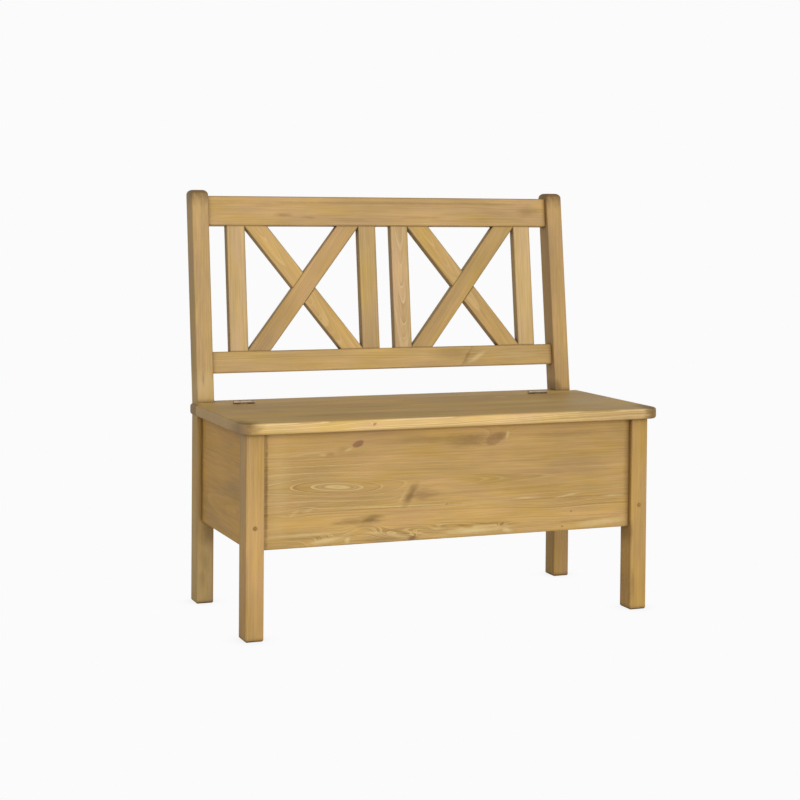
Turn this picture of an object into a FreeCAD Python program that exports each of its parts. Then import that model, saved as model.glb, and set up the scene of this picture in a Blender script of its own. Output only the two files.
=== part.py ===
"""Pine storage bench: a chest on four legs, a hinged seat lid and a leaning back with two crosses.

The bench stands on its four feet at Z = 0. X runs along its width, the front faces -Y, and the
origin lies under the middle of its bounding box. All sizes are millimetres and degrees.
"""
import FreeCAD, Part
import Sketcher
import math
import os
import re
from FreeCAD import Placement, Rotation, Vector

SIZES = {
    # whole bench
    "overall_height": 960,
    "overall_depth": 530,
    "seat_width": 1000,
    "seat_height": 468,
    "seat_thickness": 25,
    "back_lean": 7.4,
    # seat: lid and the fixed board behind it
    "rear_strip_depth": 51,
    "lid_gap": 2,
    "side_overhang": 18.5,
    "front_overhang": 26,
    "lid_corner_radius": 28,
    "board_corner_radius": 8,
    "seat_edge_radius": 6,
    # legs and posts
    "leg_width": 41,
    "front_leg_depth": 50,
    "post_depth": 48,
    "leg_arris_radius": 3,
    "foot_chamfer": 3,
    "post_top_radius": 12,
    "plug_height": 242,
    "plug_radius": 4,
    "plug_length": 10,
    "plug_stand": 0.4,
    # chest
    "panel_thickness": 20,
    "panel_recess": 12,
    "panel_bottom": 192,
    "panel_arris_radius": 2,
    "tongue_thickness": 8,
    "tongue_length": 12,
    "floor_thickness": 12,
    "floor_clearance": 1,
    "bearer_width": 22,
    "bearer_height": 22,
    "bearer_lift": 3,
    "cleat_width": 22,
    "cleat_height": 22,
    # back frame
    "rail_thickness": 25,
    "rail_recess": 12,
    "rail_arris": 1.5,
    "bottom_rail_height": 50,
    "top_rail_height": 70,
    "seat_to_rail": 67,
    "rail_below_top": 12,
    "rail_tenon_length": 22,
    "rail_tenon_thickness": 12,
    "rail_tenon_shoulder": 10,
    "slat_width": 45,
    "slat_thickness": 20,
    "slat_arris": 1.2,
    "outer_slat_gap": 45.5,
    "middle_slat_gap": 39,
    "slat_tenon_length": 15,
    "slat_tenon_thickness": 8,
    "slat_tenon_shoulder": 5,
    "bar_width": 45,
    "bar_run_share": 0.817,
    # lid battens
    "lid_batten_width": 40,
    "lid_batten_thickness": 18,
    "lid_batten_length": 270,
    "lid_batten_setback": 74,
    "lid_batten_inset": 200,
    "lid_batten_radius": 4,
    # hinges
    "hinge_length": 50,
    "left_hinge_inset": 115,
    "right_hinge_inset": 135,
    "knuckle_radius": 4,
    "knuckle_lift": 0.2,
    "knuckle_gap": 0.4,
    "hinge_pin_radius": 2,
    "hinge_pin_clearance": 0.05,
    "leaf_height": 19,
    "leaf_thickness": 1.5,
    "leaf_gap": 0.5,
    "leaf_screw_radius": 1.5,
    "leaf_screw_length": 16,
    "leaf_screw_head_radius": 3,
    "leaf_screw_spacing": 30,
    "countersink_angle": 45,
    # fits
    "fit_clearance": 0.1,
    "screw_clearance": 0.2,
    "blind_spare": 1,
    "cut_overrun": 5,
}

# Sizes that follow from the ones above, each written once
DERIVED = {
    "rim_height": "seat_height - seat_thickness",
    "front_line": "-overall_depth / 2",
    "leg_face": "seat_width / 2 - side_overhang",
    "leg_inner": "leg_face - leg_width",
    "front_leg_rear": "front_overhang + front_leg_depth",
    "panel_height": "rim_height - panel_bottom",
    "panel_inner": "leg_face - panel_recess - panel_thickness",
    "tongue_inset": "(panel_thickness - tongue_thickness) / 2",
    "groove_inset": "panel_recess + tongue_inset - fit_clearance",
    "groove_width": "tongue_thickness + 2 * fit_clearance",
    "groove_depth": "tongue_length + blind_spare",
    "front_inner_face": "front_overhang + panel_recess + panel_thickness",
    "back_rise": "overall_height - seat_height",
    "top_round_gain": "post_top_radius * (tan(back_lean) + 1 / cos(back_lean) - 1)",
    "post_top_reach": "post_depth / cos(back_lean) + back_rise * tan(back_lean) - top_round_gain",
    "post_front": "overall_depth - post_top_reach",
    "lid_depth": "post_front - rear_strip_depth - lid_gap",
    "back_panel_inner": "post_front + post_depth - panel_recess - panel_thickness",
    "back_panel_outer": "back_panel_inner + panel_thickness",
    "bay_bottom": "seat_to_rail + bottom_rail_height",
    "top_rail_bottom": "back_rise / cos(back_lean) - rail_below_top - top_rail_height",
    "bay_height": "top_rail_bottom - bay_bottom",
    "slat_inset": "rail_recess + (rail_thickness - slat_thickness) / 2",
    "outer_slat_middle": "leg_inner - outer_slat_gap - slat_width / 2",
    "inner_slat_middle": "middle_slat_gap / 2 + slat_width / 2",
    "bay_width": "outer_slat_middle - inner_slat_middle - slat_width",
    "bay_middle": "(outer_slat_middle + inner_slat_middle) / 2",
    "bar_run": "bay_width * bar_run_share",
    "bar_cut_half": "bar_width / 2 * sqrt(1 + (bar_run / bay_height) ^ 2)",
    "lap_spare": "fit_clearance * sqrt(1 + (bar_run / bay_height) ^ 2)",
    "joint_line": "lid_depth + lid_gap / 2",
    "hinge_line": "seat_height + knuckle_radius + knuckle_lift",
    "leaf_top": "-knuckle_radius - knuckle_lift",
    "leaf_reach": "leaf_gap / 2 + leaf_thickness",
    "hinge_mortise": "leaf_reach - lid_gap / 2",
    "leaf_screw_level": "seat_thickness - leaf_height / 2",
    "knuckle_length": "(hinge_length - 2 * knuckle_gap) / 3",
    "lid_batten_offset": "seat_width / 2 - lid_batten_inset",
    "left_hinge_place": "left_hinge_inset - seat_width / 2",
    "right_hinge_place": "seat_width / 2 - right_hinge_inset",
    "slat_tenon_half": "slat_width / 2 - slat_tenon_shoulder",
}

doc = FreeCAD.newDocument("bench")
sheet = doc.addObject("Spreadsheet::Sheet", "Dims")
sheet.Label = "Dimensions"
for row, (alias, size) in enumerate(SIZES.items(), start=1):
    sheet.set(f"A{row}", alias.replace("_", " "))
    sheet.set(f"B{row}", str(size))
    sheet.setAlias(f"B{row}", alias)
doc.recompute()


def formula(text):
    """Turn a formula in plain names into an expression on the sheet's driving cells."""
    def swap(match):
        name = match.group(0)
        if name in DERIVED:
            return f"({formula(DERIVED[name])})"
        return f"Dims.{name}" if name in SIZES else name
    return re.sub(r"[a-z][a-z_]*", swap, text)


def number(text):
    """The present value of a formula."""
    return float(sheet.evalExpression(formula(text)))


# Bodies and their places

def new_body(label, x="0", y="0", z="0"):
    """An empty body whose origin lies at x, at y behind the lid's front edge, and at height z."""
    body = doc.addObject("PartDesign::Body", label)
    body.Label = label
    body.setExpression("Placement.Base.x", formula(x))
    body.setExpression("Placement.Base.y", formula(f"front_line + {y}"))
    body.setExpression("Placement.Base.z", formula(z))
    return body


def new_back_body(label, x, depth, rise):
    """A body that leans with the back: depth behind the posts' front face, rise up that face."""
    y = f"post_front + ({depth}) * cos(back_lean) + ({rise}) * sin(back_lean)"
    z = f"seat_height - ({depth}) * sin(back_lean) + ({rise}) * cos(back_lean)"
    body = new_body(label, x, y, z)
    lean = Rotation(Vector(-1, 0, 0), number("back_lean"))
    body.Placement = Placement(body.Placement.Base, lean)
    body.setExpression("Placement.Rotation.Angle", formula("back_lean"))
    return body


# Sketches, bound to the sheet

def new_sketch(body, role, offset="0"):
    """A sketch on one of the body's own origin planes, moved along the plane's normal."""
    plane = next(item for item in body.Origin.OriginFeatures if item.Role == role)
    sketch = body.newObject("Sketcher::SketchObject", f"{body.Label}_sketch")
    sketch.AttachmentSupport = [(plane, "")]
    sketch.MapMode = "FlatFace"
    if offset != "0":
        sketch.setExpression("AttachmentOffset.Base.z", formula(offset))
    return sketch


def bind(sketch, constraint, text):
    """Add a constraint whose value is a formula."""
    index = sketch.addConstraint(constraint)
    sketch.setExpression(f"Constraints[{index}]", formula(text))


def bind_point(sketch, shape, end, place):
    """Hold one end of a shape at a place given by two formulas."""
    for kind, text in zip(("DistanceX", "DistanceY"), place):
        bind(sketch, Sketcher.Constraint(kind, -1, 1, shape, end, number(text)), text)


def add_loop(sketch, corners):
    """A closed loop of straight lines through corners given by pairs of formulas."""
    first = sketch.GeometryCount
    count = len(corners)
    spots = [Vector(number(x), number(y), 0) for x, y in corners]
    sketch.addGeometry([Part.LineSegment(spots[i], spots[(i + 1) % count]) for i in range(count)])
    for i in range(count):
        follower = first + (i + 1) % count
        sketch.addConstraint(Sketcher.Constraint("Coincident", first + i, 2, follower, 1))
        bind_point(sketch, first + i, 1, corners[i])


def add_circle(sketch, place, radius):
    """A circle with its middle at a pair of formulas."""
    middle = Vector(number(place[0]), number(place[1]), 0)
    index = sketch.addGeometry(Part.Circle(middle, Vector(0, 0, 1), number(radius)))
    bind(sketch, Sketcher.Constraint("Radius", index, number(radius)), radius)
    bind_point(sketch, index, 3, place)


def box_corners(low_x, high_x, low_y, high_y):
    """The four corners of a rectangle, as pairs of formulas."""
    return [(low_x, low_y), (high_x, low_y), (high_x, high_y), (low_x, high_y)]


# Features

def pad(body, sketch, length, both_ways=False, backwards=False):
    """Raise a sketch into solid wood or metal."""
    feature = body.newObject("PartDesign::Pad", f"{body.Label}_pad")
    feature.Profile = sketch
    feature.setExpression("Length", formula(length))
    feature.Midplane = both_ways
    feature.Reversed = backwards
    return feature


def pocket(body, sketch, depth, backwards=False, both_ways=False):
    """Cut a sketch into the body: against the sketch's normal, or along it when backwards."""
    feature = body.newObject("PartDesign::Pocket", f"{body.Label}_pocket")
    feature.Profile = sketch
    feature.setExpression("Length", formula(depth))
    feature.Reversed = backwards
    feature.Midplane = both_ways
    return feature


def dress_edges(body, kind, size, chosen):
    """Fillet or chamfer the edges of the body's tip that the test picks."""
    doc.recompute()
    base = body.Tip
    names = [f"Edge{i}" for i, edge in enumerate(base.Shape.Edges, start=1) if chosen(edge)]
    feature = body.newObject(f"PartDesign::{kind}", f"{body.Label}_{kind.lower()}")
    feature.Base = (base, names)
    feature.setExpression("Radius" if kind == "Fillet" else "Size", formula(size))
    return feature


def runs_along(axis):
    """A test for straight edges that run along one local axis."""
    def test(edge):
        start, end = edge.Vertexes[0].Point, edge.Vertexes[-1].Point
        way = end - start
        return way.Length > 0 and abs(way.normalize().dot(axis)) > STRAIGHT_SHARE
    return test


def lies_at(coordinate, text):
    """A test for edges whose every point has the given local coordinate."""
    level = number(text)

    def test(edge):
        box = edge.BoundBox
        low, high = getattr(box, coordinate + "Min"), getattr(box, coordinate + "Max")
        return max(abs(low - level), abs(high - level)) < TOUCH
    return test


STRAIGHT_SHARE = 0.999
TOUCH = number("fit_clearance") / 10
AXIS_X, AXIS_Y, AXIS_Z = Vector(1, 0, 0), Vector(0, 1, 0), Vector(0, 0, 1)


# Legs and posts

def cut_tongue_groove(body, low_x, high_x, low_y, high_y):
    """A stopped groove for a panel's tongue, from the chest's underside up through the rim."""
    sketch = new_sketch(body, "XY_Plane", "panel_bottom - fit_clearance")
    add_loop(sketch, box_corners(low_x, high_x, low_y, high_y))
    pocket(body, sketch, "panel_height + 2 * fit_clearance", backwards=True)


def front_leg(label, side):
    """A square-cut front leg; side is -1 on the left and 1 on the right."""
    x = "-leg_face" if side < 0 else "leg_inner"
    body = new_body(label, x, "front_overhang")
    sketch = new_sketch(body, "XY_Plane")
    add_loop(sketch, box_corners("0", "leg_width", "0", "front_leg_depth"))
    pad(body, sketch, "rim_height")
    dress_edges(body, "Fillet", "leg_arris_radius", runs_along(AXIS_Z))
    dress_edges(body, "Chamfer", "foot_chamfer", lies_at("Z", "0"))
    if side < 0:
        inner = ("leg_width - groove_depth", "leg_width + cut_overrun")
        rear = ("groove_inset", "groove_inset + groove_width")
    else:
        inner = ("-cut_overrun", "groove_depth")
        rear = ("leg_width - groove_inset - groove_width", "leg_width - groove_inset")
    cut_tongue_groove(body, *inner, "groove_inset", "groove_inset + groove_width")
    cut_tongue_groove(body, *rear, "front_leg_depth - groove_depth", "front_leg_depth + cut_overrun")
    hole = new_sketch(body, "XZ_Plane")
    add_circle(hole, ("leg_width / 2", "plug_height"), "plug_radius + fit_clearance")
    pocket(body, hole, "plug_length + fit_clearance")
    return body


def rail_mortise(body, side, bottom, height):
    """A leaning mortise in a post's inner face for the tenon of a rail."""
    low = f"{bottom} + rail_tenon_shoulder - fit_clearance"
    high = f"{bottom} + {height} - rail_tenon_shoulder + fit_clearance"
    near = "rail_recess + (rail_thickness - rail_tenon_thickness) / 2 - fit_clearance"
    far = "rail_recess + (rail_thickness + rail_tenon_thickness) / 2 + fit_clearance"
    corners = []
    for depth, rise in ((near, low), (far, low), (far, high), (near, high)):
        y = f"({depth}) * cos(back_lean) + ({rise}) * sin(back_lean)"
        z = f"seat_height - ({depth}) * sin(back_lean) + ({rise}) * cos(back_lean)"
        corners.append((y, z))
    sketch = new_sketch(body, "YZ_Plane", "leg_width" if side < 0 else "0")
    add_loop(sketch, corners)
    pocket(body, sketch, "rail_tenon_length + blind_spare", backwards=side > 0)


def rear_post(label, side):
    """Rear leg and back post sawn from one plank, bent back at the seat and rounded over on top."""
    x = "-leg_face" if side < 0 else "leg_inner"
    body = new_body(label, x, "post_front")
    sketch = new_sketch(body, "YZ_Plane")
    top_front = "back_rise * tan(back_lean)"
    add_loop(sketch, [
        ("0", "0"),
        ("post_depth", "0"),
        ("post_depth", "seat_height - post_depth * tan(back_lean / 2)"),
        (f"{top_front} + post_depth / cos(back_lean)", "overall_height"),
        (top_front, "overall_height"),
        ("0", "seat_height"),
    ])
    pad(body, sketch, "leg_width")
    dress_edges(body, "Fillet", "post_top_radius", lies_at("Z", "overall_height"))
    dress_edges(body, "Chamfer", "foot_chamfer", lies_at("Z", "0"))
    below_round = number("overall_height - post_top_radius") + TOUCH

    def long_arris(edge):
        box = edge.BoundBox
        return box.ZLength > number("post_top_radius") * 2 and box.ZMax < below_round
    dress_edges(body, "Fillet", "leg_arris_radius", long_arris)
    front = ("groove_inset", "groove_inset + groove_width")
    inner = ("leg_width - groove_depth", "leg_width + cut_overrun")
    if side > 0:
        front = ("leg_width - groove_inset - groove_width", "leg_width - groove_inset")
        inner = ("-cut_overrun", "groove_depth")
    cut_tongue_groove(body, *front, "-cut_overrun", "groove_depth")
    cut_tongue_groove(body, *inner, "post_depth - groove_inset - groove_width",
                      "post_depth - groove_inset")
    rail_mortise(body, side, "seat_to_rail", "bottom_rail_height")
    rail_mortise(body, side, "top_rail_bottom", "top_rail_height")
    return body


# Chest

def panel_outline(span):
    """Plan of a panel with a tongue on each end: along the first axis, front face at 0."""
    half = f"({span}) / 2"
    tip = f"{half} + tongue_length"
    near, far = "tongue_inset", "tongue_inset + tongue_thickness"
    right = [(half, "0"), (half, near), (tip, near), (tip, far), (half, far),
             (half, "panel_thickness")]
    left = [(f"-({along})", across) for along, across in reversed(right)]
    return right + left


def panel(label, x, y, span, across):
    """A chest wall glued up from boards; across turns it to run from front to back."""
    body = new_body(label, x, y, "panel_bottom")
    corners = panel_outline(span)
    if across:
        corners = [(thick, along) for along, thick in corners]
    sketch = new_sketch(body, "XY_Plane")
    add_loop(sketch, corners)
    pad(body, sketch, "panel_height")
    long_way = runs_along(AXIS_Y if across else AXIS_X)
    bottom = lies_at("Z", "0")
    long_side = number(span) / 2

    def lower_arris(edge):
        return bottom(edge) and long_way(edge) and edge.Length > long_side
    dress_edges(body, "Fillet", "panel_arris_radius", lower_arris)
    return body


def chest_floor():
    """The board in the bottom of the chest, notched round the four legs."""
    body = new_body("chest_floor", "0", "0", "panel_bottom + bearer_lift + bearer_height")
    wide, narrow = "panel_inner - floor_clearance", "leg_inner - floor_clearance"
    front = "front_inner_face + floor_clearance"
    front_notch = "front_leg_rear + floor_clearance"
    rear_notch = "post_front - floor_clearance"
    rear = "back_panel_inner - floor_clearance"
    right = [(narrow, front), (narrow, front_notch), (wide, front_notch), (wide, rear_notch),
             (narrow, rear_notch), (narrow, rear)]
    left = [(f"-({x})", y) for x, y in reversed(right)]
    sketch = new_sketch(body, "XY_Plane")
    add_loop(sketch, right + left)
    pad(body, sketch, "floor_thickness")
    return body


def chest_batten(label, y, z, width, height):
    """A sawn batten along the inside of the chest, from leg to leg."""
    body = new_body(label, "0", y, z)
    half = "leg_inner - floor_clearance"
    sketch = new_sketch(body, "XY_Plane")
    add_loop(sketch, box_corners(f"-({half})", half, "0", width))
    pad(body, sketch, height)
    return body


# Back frame

def slat_middles():
    """Where the four slats stand, from left to right."""
    return ["-(outer_slat_middle)", "-(inner_slat_middle)", "inner_slat_middle", "outer_slat_middle"]


def bar_feet():
    """Where the bars of the crosses meet a rail, from left to right."""
    places = []
    for middle in ("-(bay_middle)", "bay_middle"):
        places += [f"{middle} - bar_run / 2", f"{middle} + bar_run / 2"]
    return places


def back_rail(label, rise, height, joints_on_top):
    """A rail of the back, tenoned into the posts and mortised for slats and bars."""
    body = new_back_body(label, "0", "rail_recess", rise)
    section = new_sketch(body, "YZ_Plane")
    add_loop(section, box_corners("0", "rail_thickness", "0", height))
    pad(body, section, "2 * leg_inner", both_ways=True)
    dress_edges(body, "Chamfer", "rail_arris", runs_along(AXIS_X))
    tenon = new_sketch(body, "YZ_Plane")
    add_loop(tenon, box_corners(
        "(rail_thickness - rail_tenon_thickness) / 2", "(rail_thickness + rail_tenon_thickness) / 2",
        "rail_tenon_shoulder", f"{height} - rail_tenon_shoulder"))
    pad(body, tenon, "2 * (leg_inner + rail_tenon_length)", both_ways=True)
    level = height if joints_on_top else "0"
    mortises = new_sketch(body, "XY_Plane", level)
    half = "(slat_tenon_half + fit_clearance)"
    low = "(rail_thickness - slat_tenon_thickness) / 2 - fit_clearance"
    high = "(rail_thickness + slat_tenon_thickness) / 2 + fit_clearance"
    for middle in slat_middles() + bar_feet():
        add_loop(mortises, box_corners(f"{middle} - {half}", f"{middle} + {half}", low, high))
    pocket(body, mortises, "slat_tenon_length + blind_spare", backwards=not joints_on_top)
    return body


def add_stub_tenon(body, middle, level, upwards):
    """A stub tenon that stands out of the end of a slat or bar, from a level inside it."""
    tenon = new_sketch(body, "XY_Plane", level)
    add_loop(tenon, box_corners(
        f"{middle} - slat_tenon_half", f"{middle} + slat_tenon_half",
        "(slat_thickness - slat_tenon_thickness) / 2", "(slat_thickness + slat_tenon_thickness) / 2"))
    pad(body, tenon, "slat_tenon_length", backwards=not upwards)


def slat(label, middle):
    """An upright slat with a stub tenon on each end."""
    body = new_back_body(label, middle, "slat_inset", "bay_bottom")
    section = new_sketch(body, "XY_Plane")
    add_loop(section, box_corners("-slat_width / 2", "slat_width / 2", "0", "slat_thickness"))
    pad(body, section, "bay_height")
    dress_edges(body, "Chamfer", "slat_arris", runs_along(AXIS_Z))
    add_stub_tenon(body, "0", "0", False)
    add_stub_tenon(body, "0", "bay_height", True)
    return body


def strip_corners(way, spare="0"):
    """A bar's strip across its bay, level at both rails; way is 1 where it rises to the right."""
    foot = "-bar_run / 2" if way > 0 else "bar_run / 2"
    head = "bar_run / 2" if way > 0 else "-bar_run / 2"
    half = f"(bar_cut_half + {spare})"
    return [(f"{foot} - {half}", "0"), (f"{foot} + {half}", "0"),
            (f"{head} + {half}", "bay_height"), (f"{head} - {half}", "bay_height")]


def cross_bar(label, middle, way):
    """One bar of a cross, half-lapped at the crossing and trimmed where its corners meet the slats."""
    body = new_back_body(label, middle, "slat_inset", "bay_bottom")
    strip = new_sketch(body, "XZ_Plane")
    add_loop(strip, strip_corners(way))
    pad(body, strip, "slat_thickness", backwards=True)
    along = Vector(number("bar_run") * way, 0, number("bay_height")).normalize()
    dress_edges(body, "Chamfer", "slat_arris", runs_along(along))
    trim = new_sketch(body, "XZ_Plane", "cut_overrun")
    for low, high in (("-bay_width", "-bay_width / 2"), ("bay_width / 2", "bay_width")):
        add_loop(trim, box_corners(low, high, "-cut_overrun", "bay_height + cut_overrun"))
    pocket(body, trim, "slat_thickness + 2 * cut_overrun")
    if way > 0:
        lap = new_sketch(body, "XZ_Plane", "-slat_thickness / 2 + fit_clearance / 2")
        add_loop(lap, strip_corners(-way, "lap_spare"))
        pocket(body, lap, "slat_thickness")
    else:
        lap = new_sketch(body, "XZ_Plane", "-slat_thickness / 2 - fit_clearance / 2")
        add_loop(lap, strip_corners(-way, "lap_spare"))
        pocket(body, lap, "slat_thickness", backwards=True)
    ends = (("-bar_run / 2", "bar_run / 2") if way > 0 else ("bar_run / 2", "-bar_run / 2"))
    add_stub_tenon(body, ends[0], "0", False)
    add_stub_tenon(body, ends[1], "bay_height", True)
    return body


# Seat

def hinge_places():
    """The middles of the two hinges along the joint line."""
    return ["left_hinge_place", "right_hinge_place"]


def leaf_screw_steps():
    """Where the two screws stand along a hinge leaf, from its middle."""
    return ["-leaf_screw_spacing / 2", "leaf_screw_spacing / 2"]


def cut_hinge_seats(body, edge, inward):
    """Shallow mortises for the leaves and bored holes for their screws, in an edge at y = edge."""
    seat = new_sketch(body, "XY_Plane", "seat_thickness - leaf_height - fit_clearance")
    floor_line = f"{edge} + {inward} * hinge_mortise"
    mouth_line = f"{edge} - {inward} * cut_overrun"
    half = "hinge_length / 2 + fit_clearance"
    for middle in hinge_places():
        lines = (floor_line, mouth_line) if inward < 0 else (mouth_line, floor_line)
        add_loop(seat, box_corners(f"{middle} - ({half})", f"{middle} + {half}", *lines))
    pocket(body, seat, "leaf_height + cut_overrun", backwards=True)
    holes = new_sketch(body, "XZ_Plane", f"-({edge})")
    for middle in hinge_places():
        for step in leaf_screw_steps():
            spot = (f"{middle} + {step}", "leaf_screw_level")
            add_circle(holes, spot, "leaf_screw_radius + screw_clearance")
    pocket(body, holes, "leaf_screw_length + blind_spare", backwards=inward < 0)


def lid_panel():
    """The seat lid: glued-up boards with rounded front corners and rounded edges."""
    body = new_body("lid_panel", "0", "0", "rim_height")
    sketch = new_sketch(body, "XY_Plane")
    add_loop(sketch, box_corners("-seat_width / 2", "seat_width / 2", "0", "lid_depth"))
    pad(body, sketch, "seat_thickness")
    upright, at_front = runs_along(AXIS_Z), lies_at("Y", "0")
    dress_edges(body, "Fillet", "lid_corner_radius", lambda edge: upright(edge) and at_front(edge))
    at_joint = lies_at("Y", "lid_depth")
    faces = (lies_at("Z", "0"), lies_at("Z", "seat_thickness"))
    dress_edges(body, "Fillet", "seat_edge_radius",
                lambda edge: any(face(edge) for face in faces) and not at_joint(edge))
    cut_hinge_seats(body, "lid_depth", -1)
    return body


def seat_rear_board():
    """The fixed strip of the seat: full width before the posts, narrower between them."""
    body = new_body("seat_rear_board", "0", "joint_line + lid_gap / 2", "rim_height")
    wide, narrow = "seat_width / 2", "leg_inner - fit_clearance"
    shoulder = "post_front - joint_line - lid_gap / 2 - fit_clearance"
    rear = "back_panel_outer - joint_line - lid_gap / 2"
    sketch = new_sketch(body, "XY_Plane")
    right = [(wide, "0"), (wide, shoulder), (narrow, shoulder), (narrow, rear)]
    left = [(f"-({x})", y) for x, y in reversed(right)]
    add_loop(sketch, right + left)
    pad(body, sketch, "seat_thickness")
    upright, at_end = runs_along(AXIS_Z), lies_at("Y", shoulder)
    half_width = number(wide) - TOUCH
    dress_edges(body, "Fillet", "board_corner_radius",
                lambda edge: upright(edge) and at_end(edge) and edge.BoundBox.XLength < TOUCH
                and abs(edge.BoundBox.XMin) > half_width)
    faces = (lies_at("Z", "0"), lies_at("Z", "seat_thickness"))
    at_rear = lies_at("Y", rear)
    outward = number(narrow) + number("board_corner_radius")

    def outer_arris(edge):
        box = edge.BoundBox
        beyond = min(abs(box.XMin), abs(box.XMax)) > outward
        return any(face(edge) for face in faces) and (at_rear(edge) or beyond)
    dress_edges(body, "Fillet", "seat_edge_radius", outer_arris)
    cut_hinge_seats(body, "0", 1)
    return body


def lid_batten(label, middle):
    """A batten glued across the underside of the lid, which keeps it flat."""
    body = new_body(label, middle, "lid_batten_setback", "rim_height - lid_batten_thickness")
    sketch = new_sketch(body, "XY_Plane")
    add_loop(sketch, box_corners("-lid_batten_width / 2", "lid_batten_width / 2",
                                 "0", "lid_batten_length"))
    pad(body, sketch, "lid_batten_thickness")
    lower, upright = lies_at("Z", "0"), runs_along(AXIS_Z)
    dress_edges(body, "Fillet", "lid_batten_radius", lambda edge: lower(edge) and not upright(edge))
    return body


# Hinges

def knuckle_profile(sketch, side):
    """A rolled knuckle round the pin and its neck down to the leaf; side is 1 on the fixed leaf."""
    near, far = "leaf_gap / 2", "leaf_reach"
    root = "leaf_top - leaf_thickness"
    radius = number("knuckle_radius")
    turns = [math.acos(number(line) / radius) for line in (near, far)]
    if side > 0:
        start, end, first, last = -turns[1], 2 * math.pi - turns[0], far, near
    else:
        start, end = turns[0] - math.pi, turns[1] + math.pi
        first, last = f"-({near})", f"-({far})"
    circle = Part.Circle(Vector(0, 0, 0), Vector(0, 0, 1), radius)
    arc = sketch.addGeometry(Part.ArcOfCircle(circle, start, end))
    low = number(root)
    edges = []
    spots = [sketch.getPoint(arc, 2), Vector(number(last), low, 0), Vector(number(first), low, 0),
             sketch.getPoint(arc, 1)]
    for begin, finish in zip(spots, spots[1:]):
        edges.append(sketch.addGeometry(Part.LineSegment(begin, finish)))
    sketch.addConstraint(Sketcher.Constraint("Coincident", arc, 3, -1, 1))
    sketch.addConstraint(Sketcher.Constraint("Coincident", arc, 2, edges[0], 1))
    sketch.addConstraint(Sketcher.Constraint("Coincident", edges[0], 2, edges[1], 1))
    sketch.addConstraint(Sketcher.Constraint("Coincident", edges[1], 2, edges[2], 1))
    sketch.addConstraint(Sketcher.Constraint("Coincident", edges[2], 2, arc, 1))
    sketch.addConstraint(Sketcher.Constraint("Vertical", edges[0]))
    sketch.addConstraint(Sketcher.Constraint("Vertical", edges[2]))
    bind(sketch, Sketcher.Constraint("Radius", arc, radius), "knuckle_radius")
    bind_point(sketch, edges[1], 1, (last, root))
    bind_point(sketch, edges[1], 2, (first, root))


def hinge_leaf(label, middle, side):
    """A butt hinge's leaf: a screwed plate with its own share of the three knuckles."""
    body = new_body(label, middle, "joint_line", "hinge_line")
    plate = new_sketch(body, "XZ_Plane", f"{-side} * leaf_gap / 2")
    add_loop(plate, box_corners("-hinge_length / 2", "hinge_length / 2",
                                "leaf_top - leaf_height", "leaf_top"))
    pad(body, plate, "leaf_thickness", backwards=side > 0)
    screw_holes = new_sketch(body, "XZ_Plane", f"{-side} * leaf_gap / 2")
    for step in leaf_screw_steps():
        spot = (step, "leaf_top - leaf_height / 2")
        add_circle(screw_holes, spot, "leaf_screw_head_radius + fit_clearance")
    countersink = pocket(body, screw_holes, "leaf_thickness", backwards=side < 0)
    countersink.setExpression("TaperAngle", formula("-countersink_angle"))
    places = ("-hinge_length / 2", "hinge_length / 2 - knuckle_length")
    if side < 0:
        places = ("-knuckle_length / 2",)
    for place in places:
        profile = new_sketch(body, "YZ_Plane", place)
        knuckle_profile(profile, side)
        pad(body, profile, "knuckle_length")
    bore = new_sketch(body, "YZ_Plane")
    add_circle(bore, ("0", "0"), "hinge_pin_radius + hinge_pin_clearance")
    pocket(body, bore, "hinge_length + cut_overrun", both_ways=True)
    return body


def hinge_pin(label, middle):
    """The pin of a hinge, flush with the ends of its knuckles."""
    body = new_body(label, middle, "joint_line", "hinge_line")
    shank = new_sketch(body, "YZ_Plane")
    add_circle(shank, ("0", "0"), "hinge_pin_radius")
    pad(body, shank, "hinge_length", both_ways=True)
    return body


# Plugs

def leg_plugs():
    """The round wooden plug in the face of each front leg, a little proud."""
    body = new_body("leg_plugs", "0", "front_overhang - plug_stand", "plug_height")
    sketch = new_sketch(body, "XZ_Plane")
    for middle in ("-leg_inner - leg_width / 2", "leg_inner + leg_width / 2"):
        add_circle(sketch, (middle, "0"), "plug_radius")
    pad(body, sketch, "plug_length + plug_stand", backwards=True)
    return body


# The bench, piece by piece

nodes = [
    front_leg("front_leg_left", -1),
    front_leg("front_leg_right", 1),
    rear_post("rear_post_left", -1),
    rear_post("rear_post_right", 1),
    panel("front_panel", "0", "front_overhang + panel_recess", "2 * leg_inner", False),
    panel("back_panel", "0", "back_panel_inner", "2 * leg_inner", False),
    panel("end_panel_left", "-leg_face + panel_recess", "(front_leg_rear + post_front) / 2",
          "post_front - front_leg_rear", True),
    panel("end_panel_right", "panel_inner", "(front_leg_rear + post_front) / 2",
          "post_front - front_leg_rear", True),
    chest_floor(),
    chest_batten("floor_bearer_front", "front_inner_face", "panel_bottom + bearer_lift",
                 "bearer_width", "bearer_height"),
    chest_batten("floor_bearer_rear", "back_panel_inner - bearer_width",
                 "panel_bottom + bearer_lift", "bearer_width", "bearer_height"),
    chest_batten("rear_board_cleat", "back_panel_inner - cleat_width",
                 "rim_height - cleat_height", "cleat_width", "cleat_height"),
    back_rail("bottom_rail", "seat_to_rail", "bottom_rail_height", True),
    back_rail("top_rail", "top_rail_bottom", "top_rail_height", False),
    lid_panel(),
    seat_rear_board(),
    lid_batten("lid_batten_left", "-(lid_batten_offset)"),
    lid_batten("lid_batten_right", "lid_batten_offset"),
    leg_plugs(),
]
slat_labels = ("slat_outer_left", "slat_inner_left", "slat_inner_right", "slat_outer_right")
for label, middle in zip(slat_labels, slat_middles()):
    nodes.append(slat(label, middle))
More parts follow.
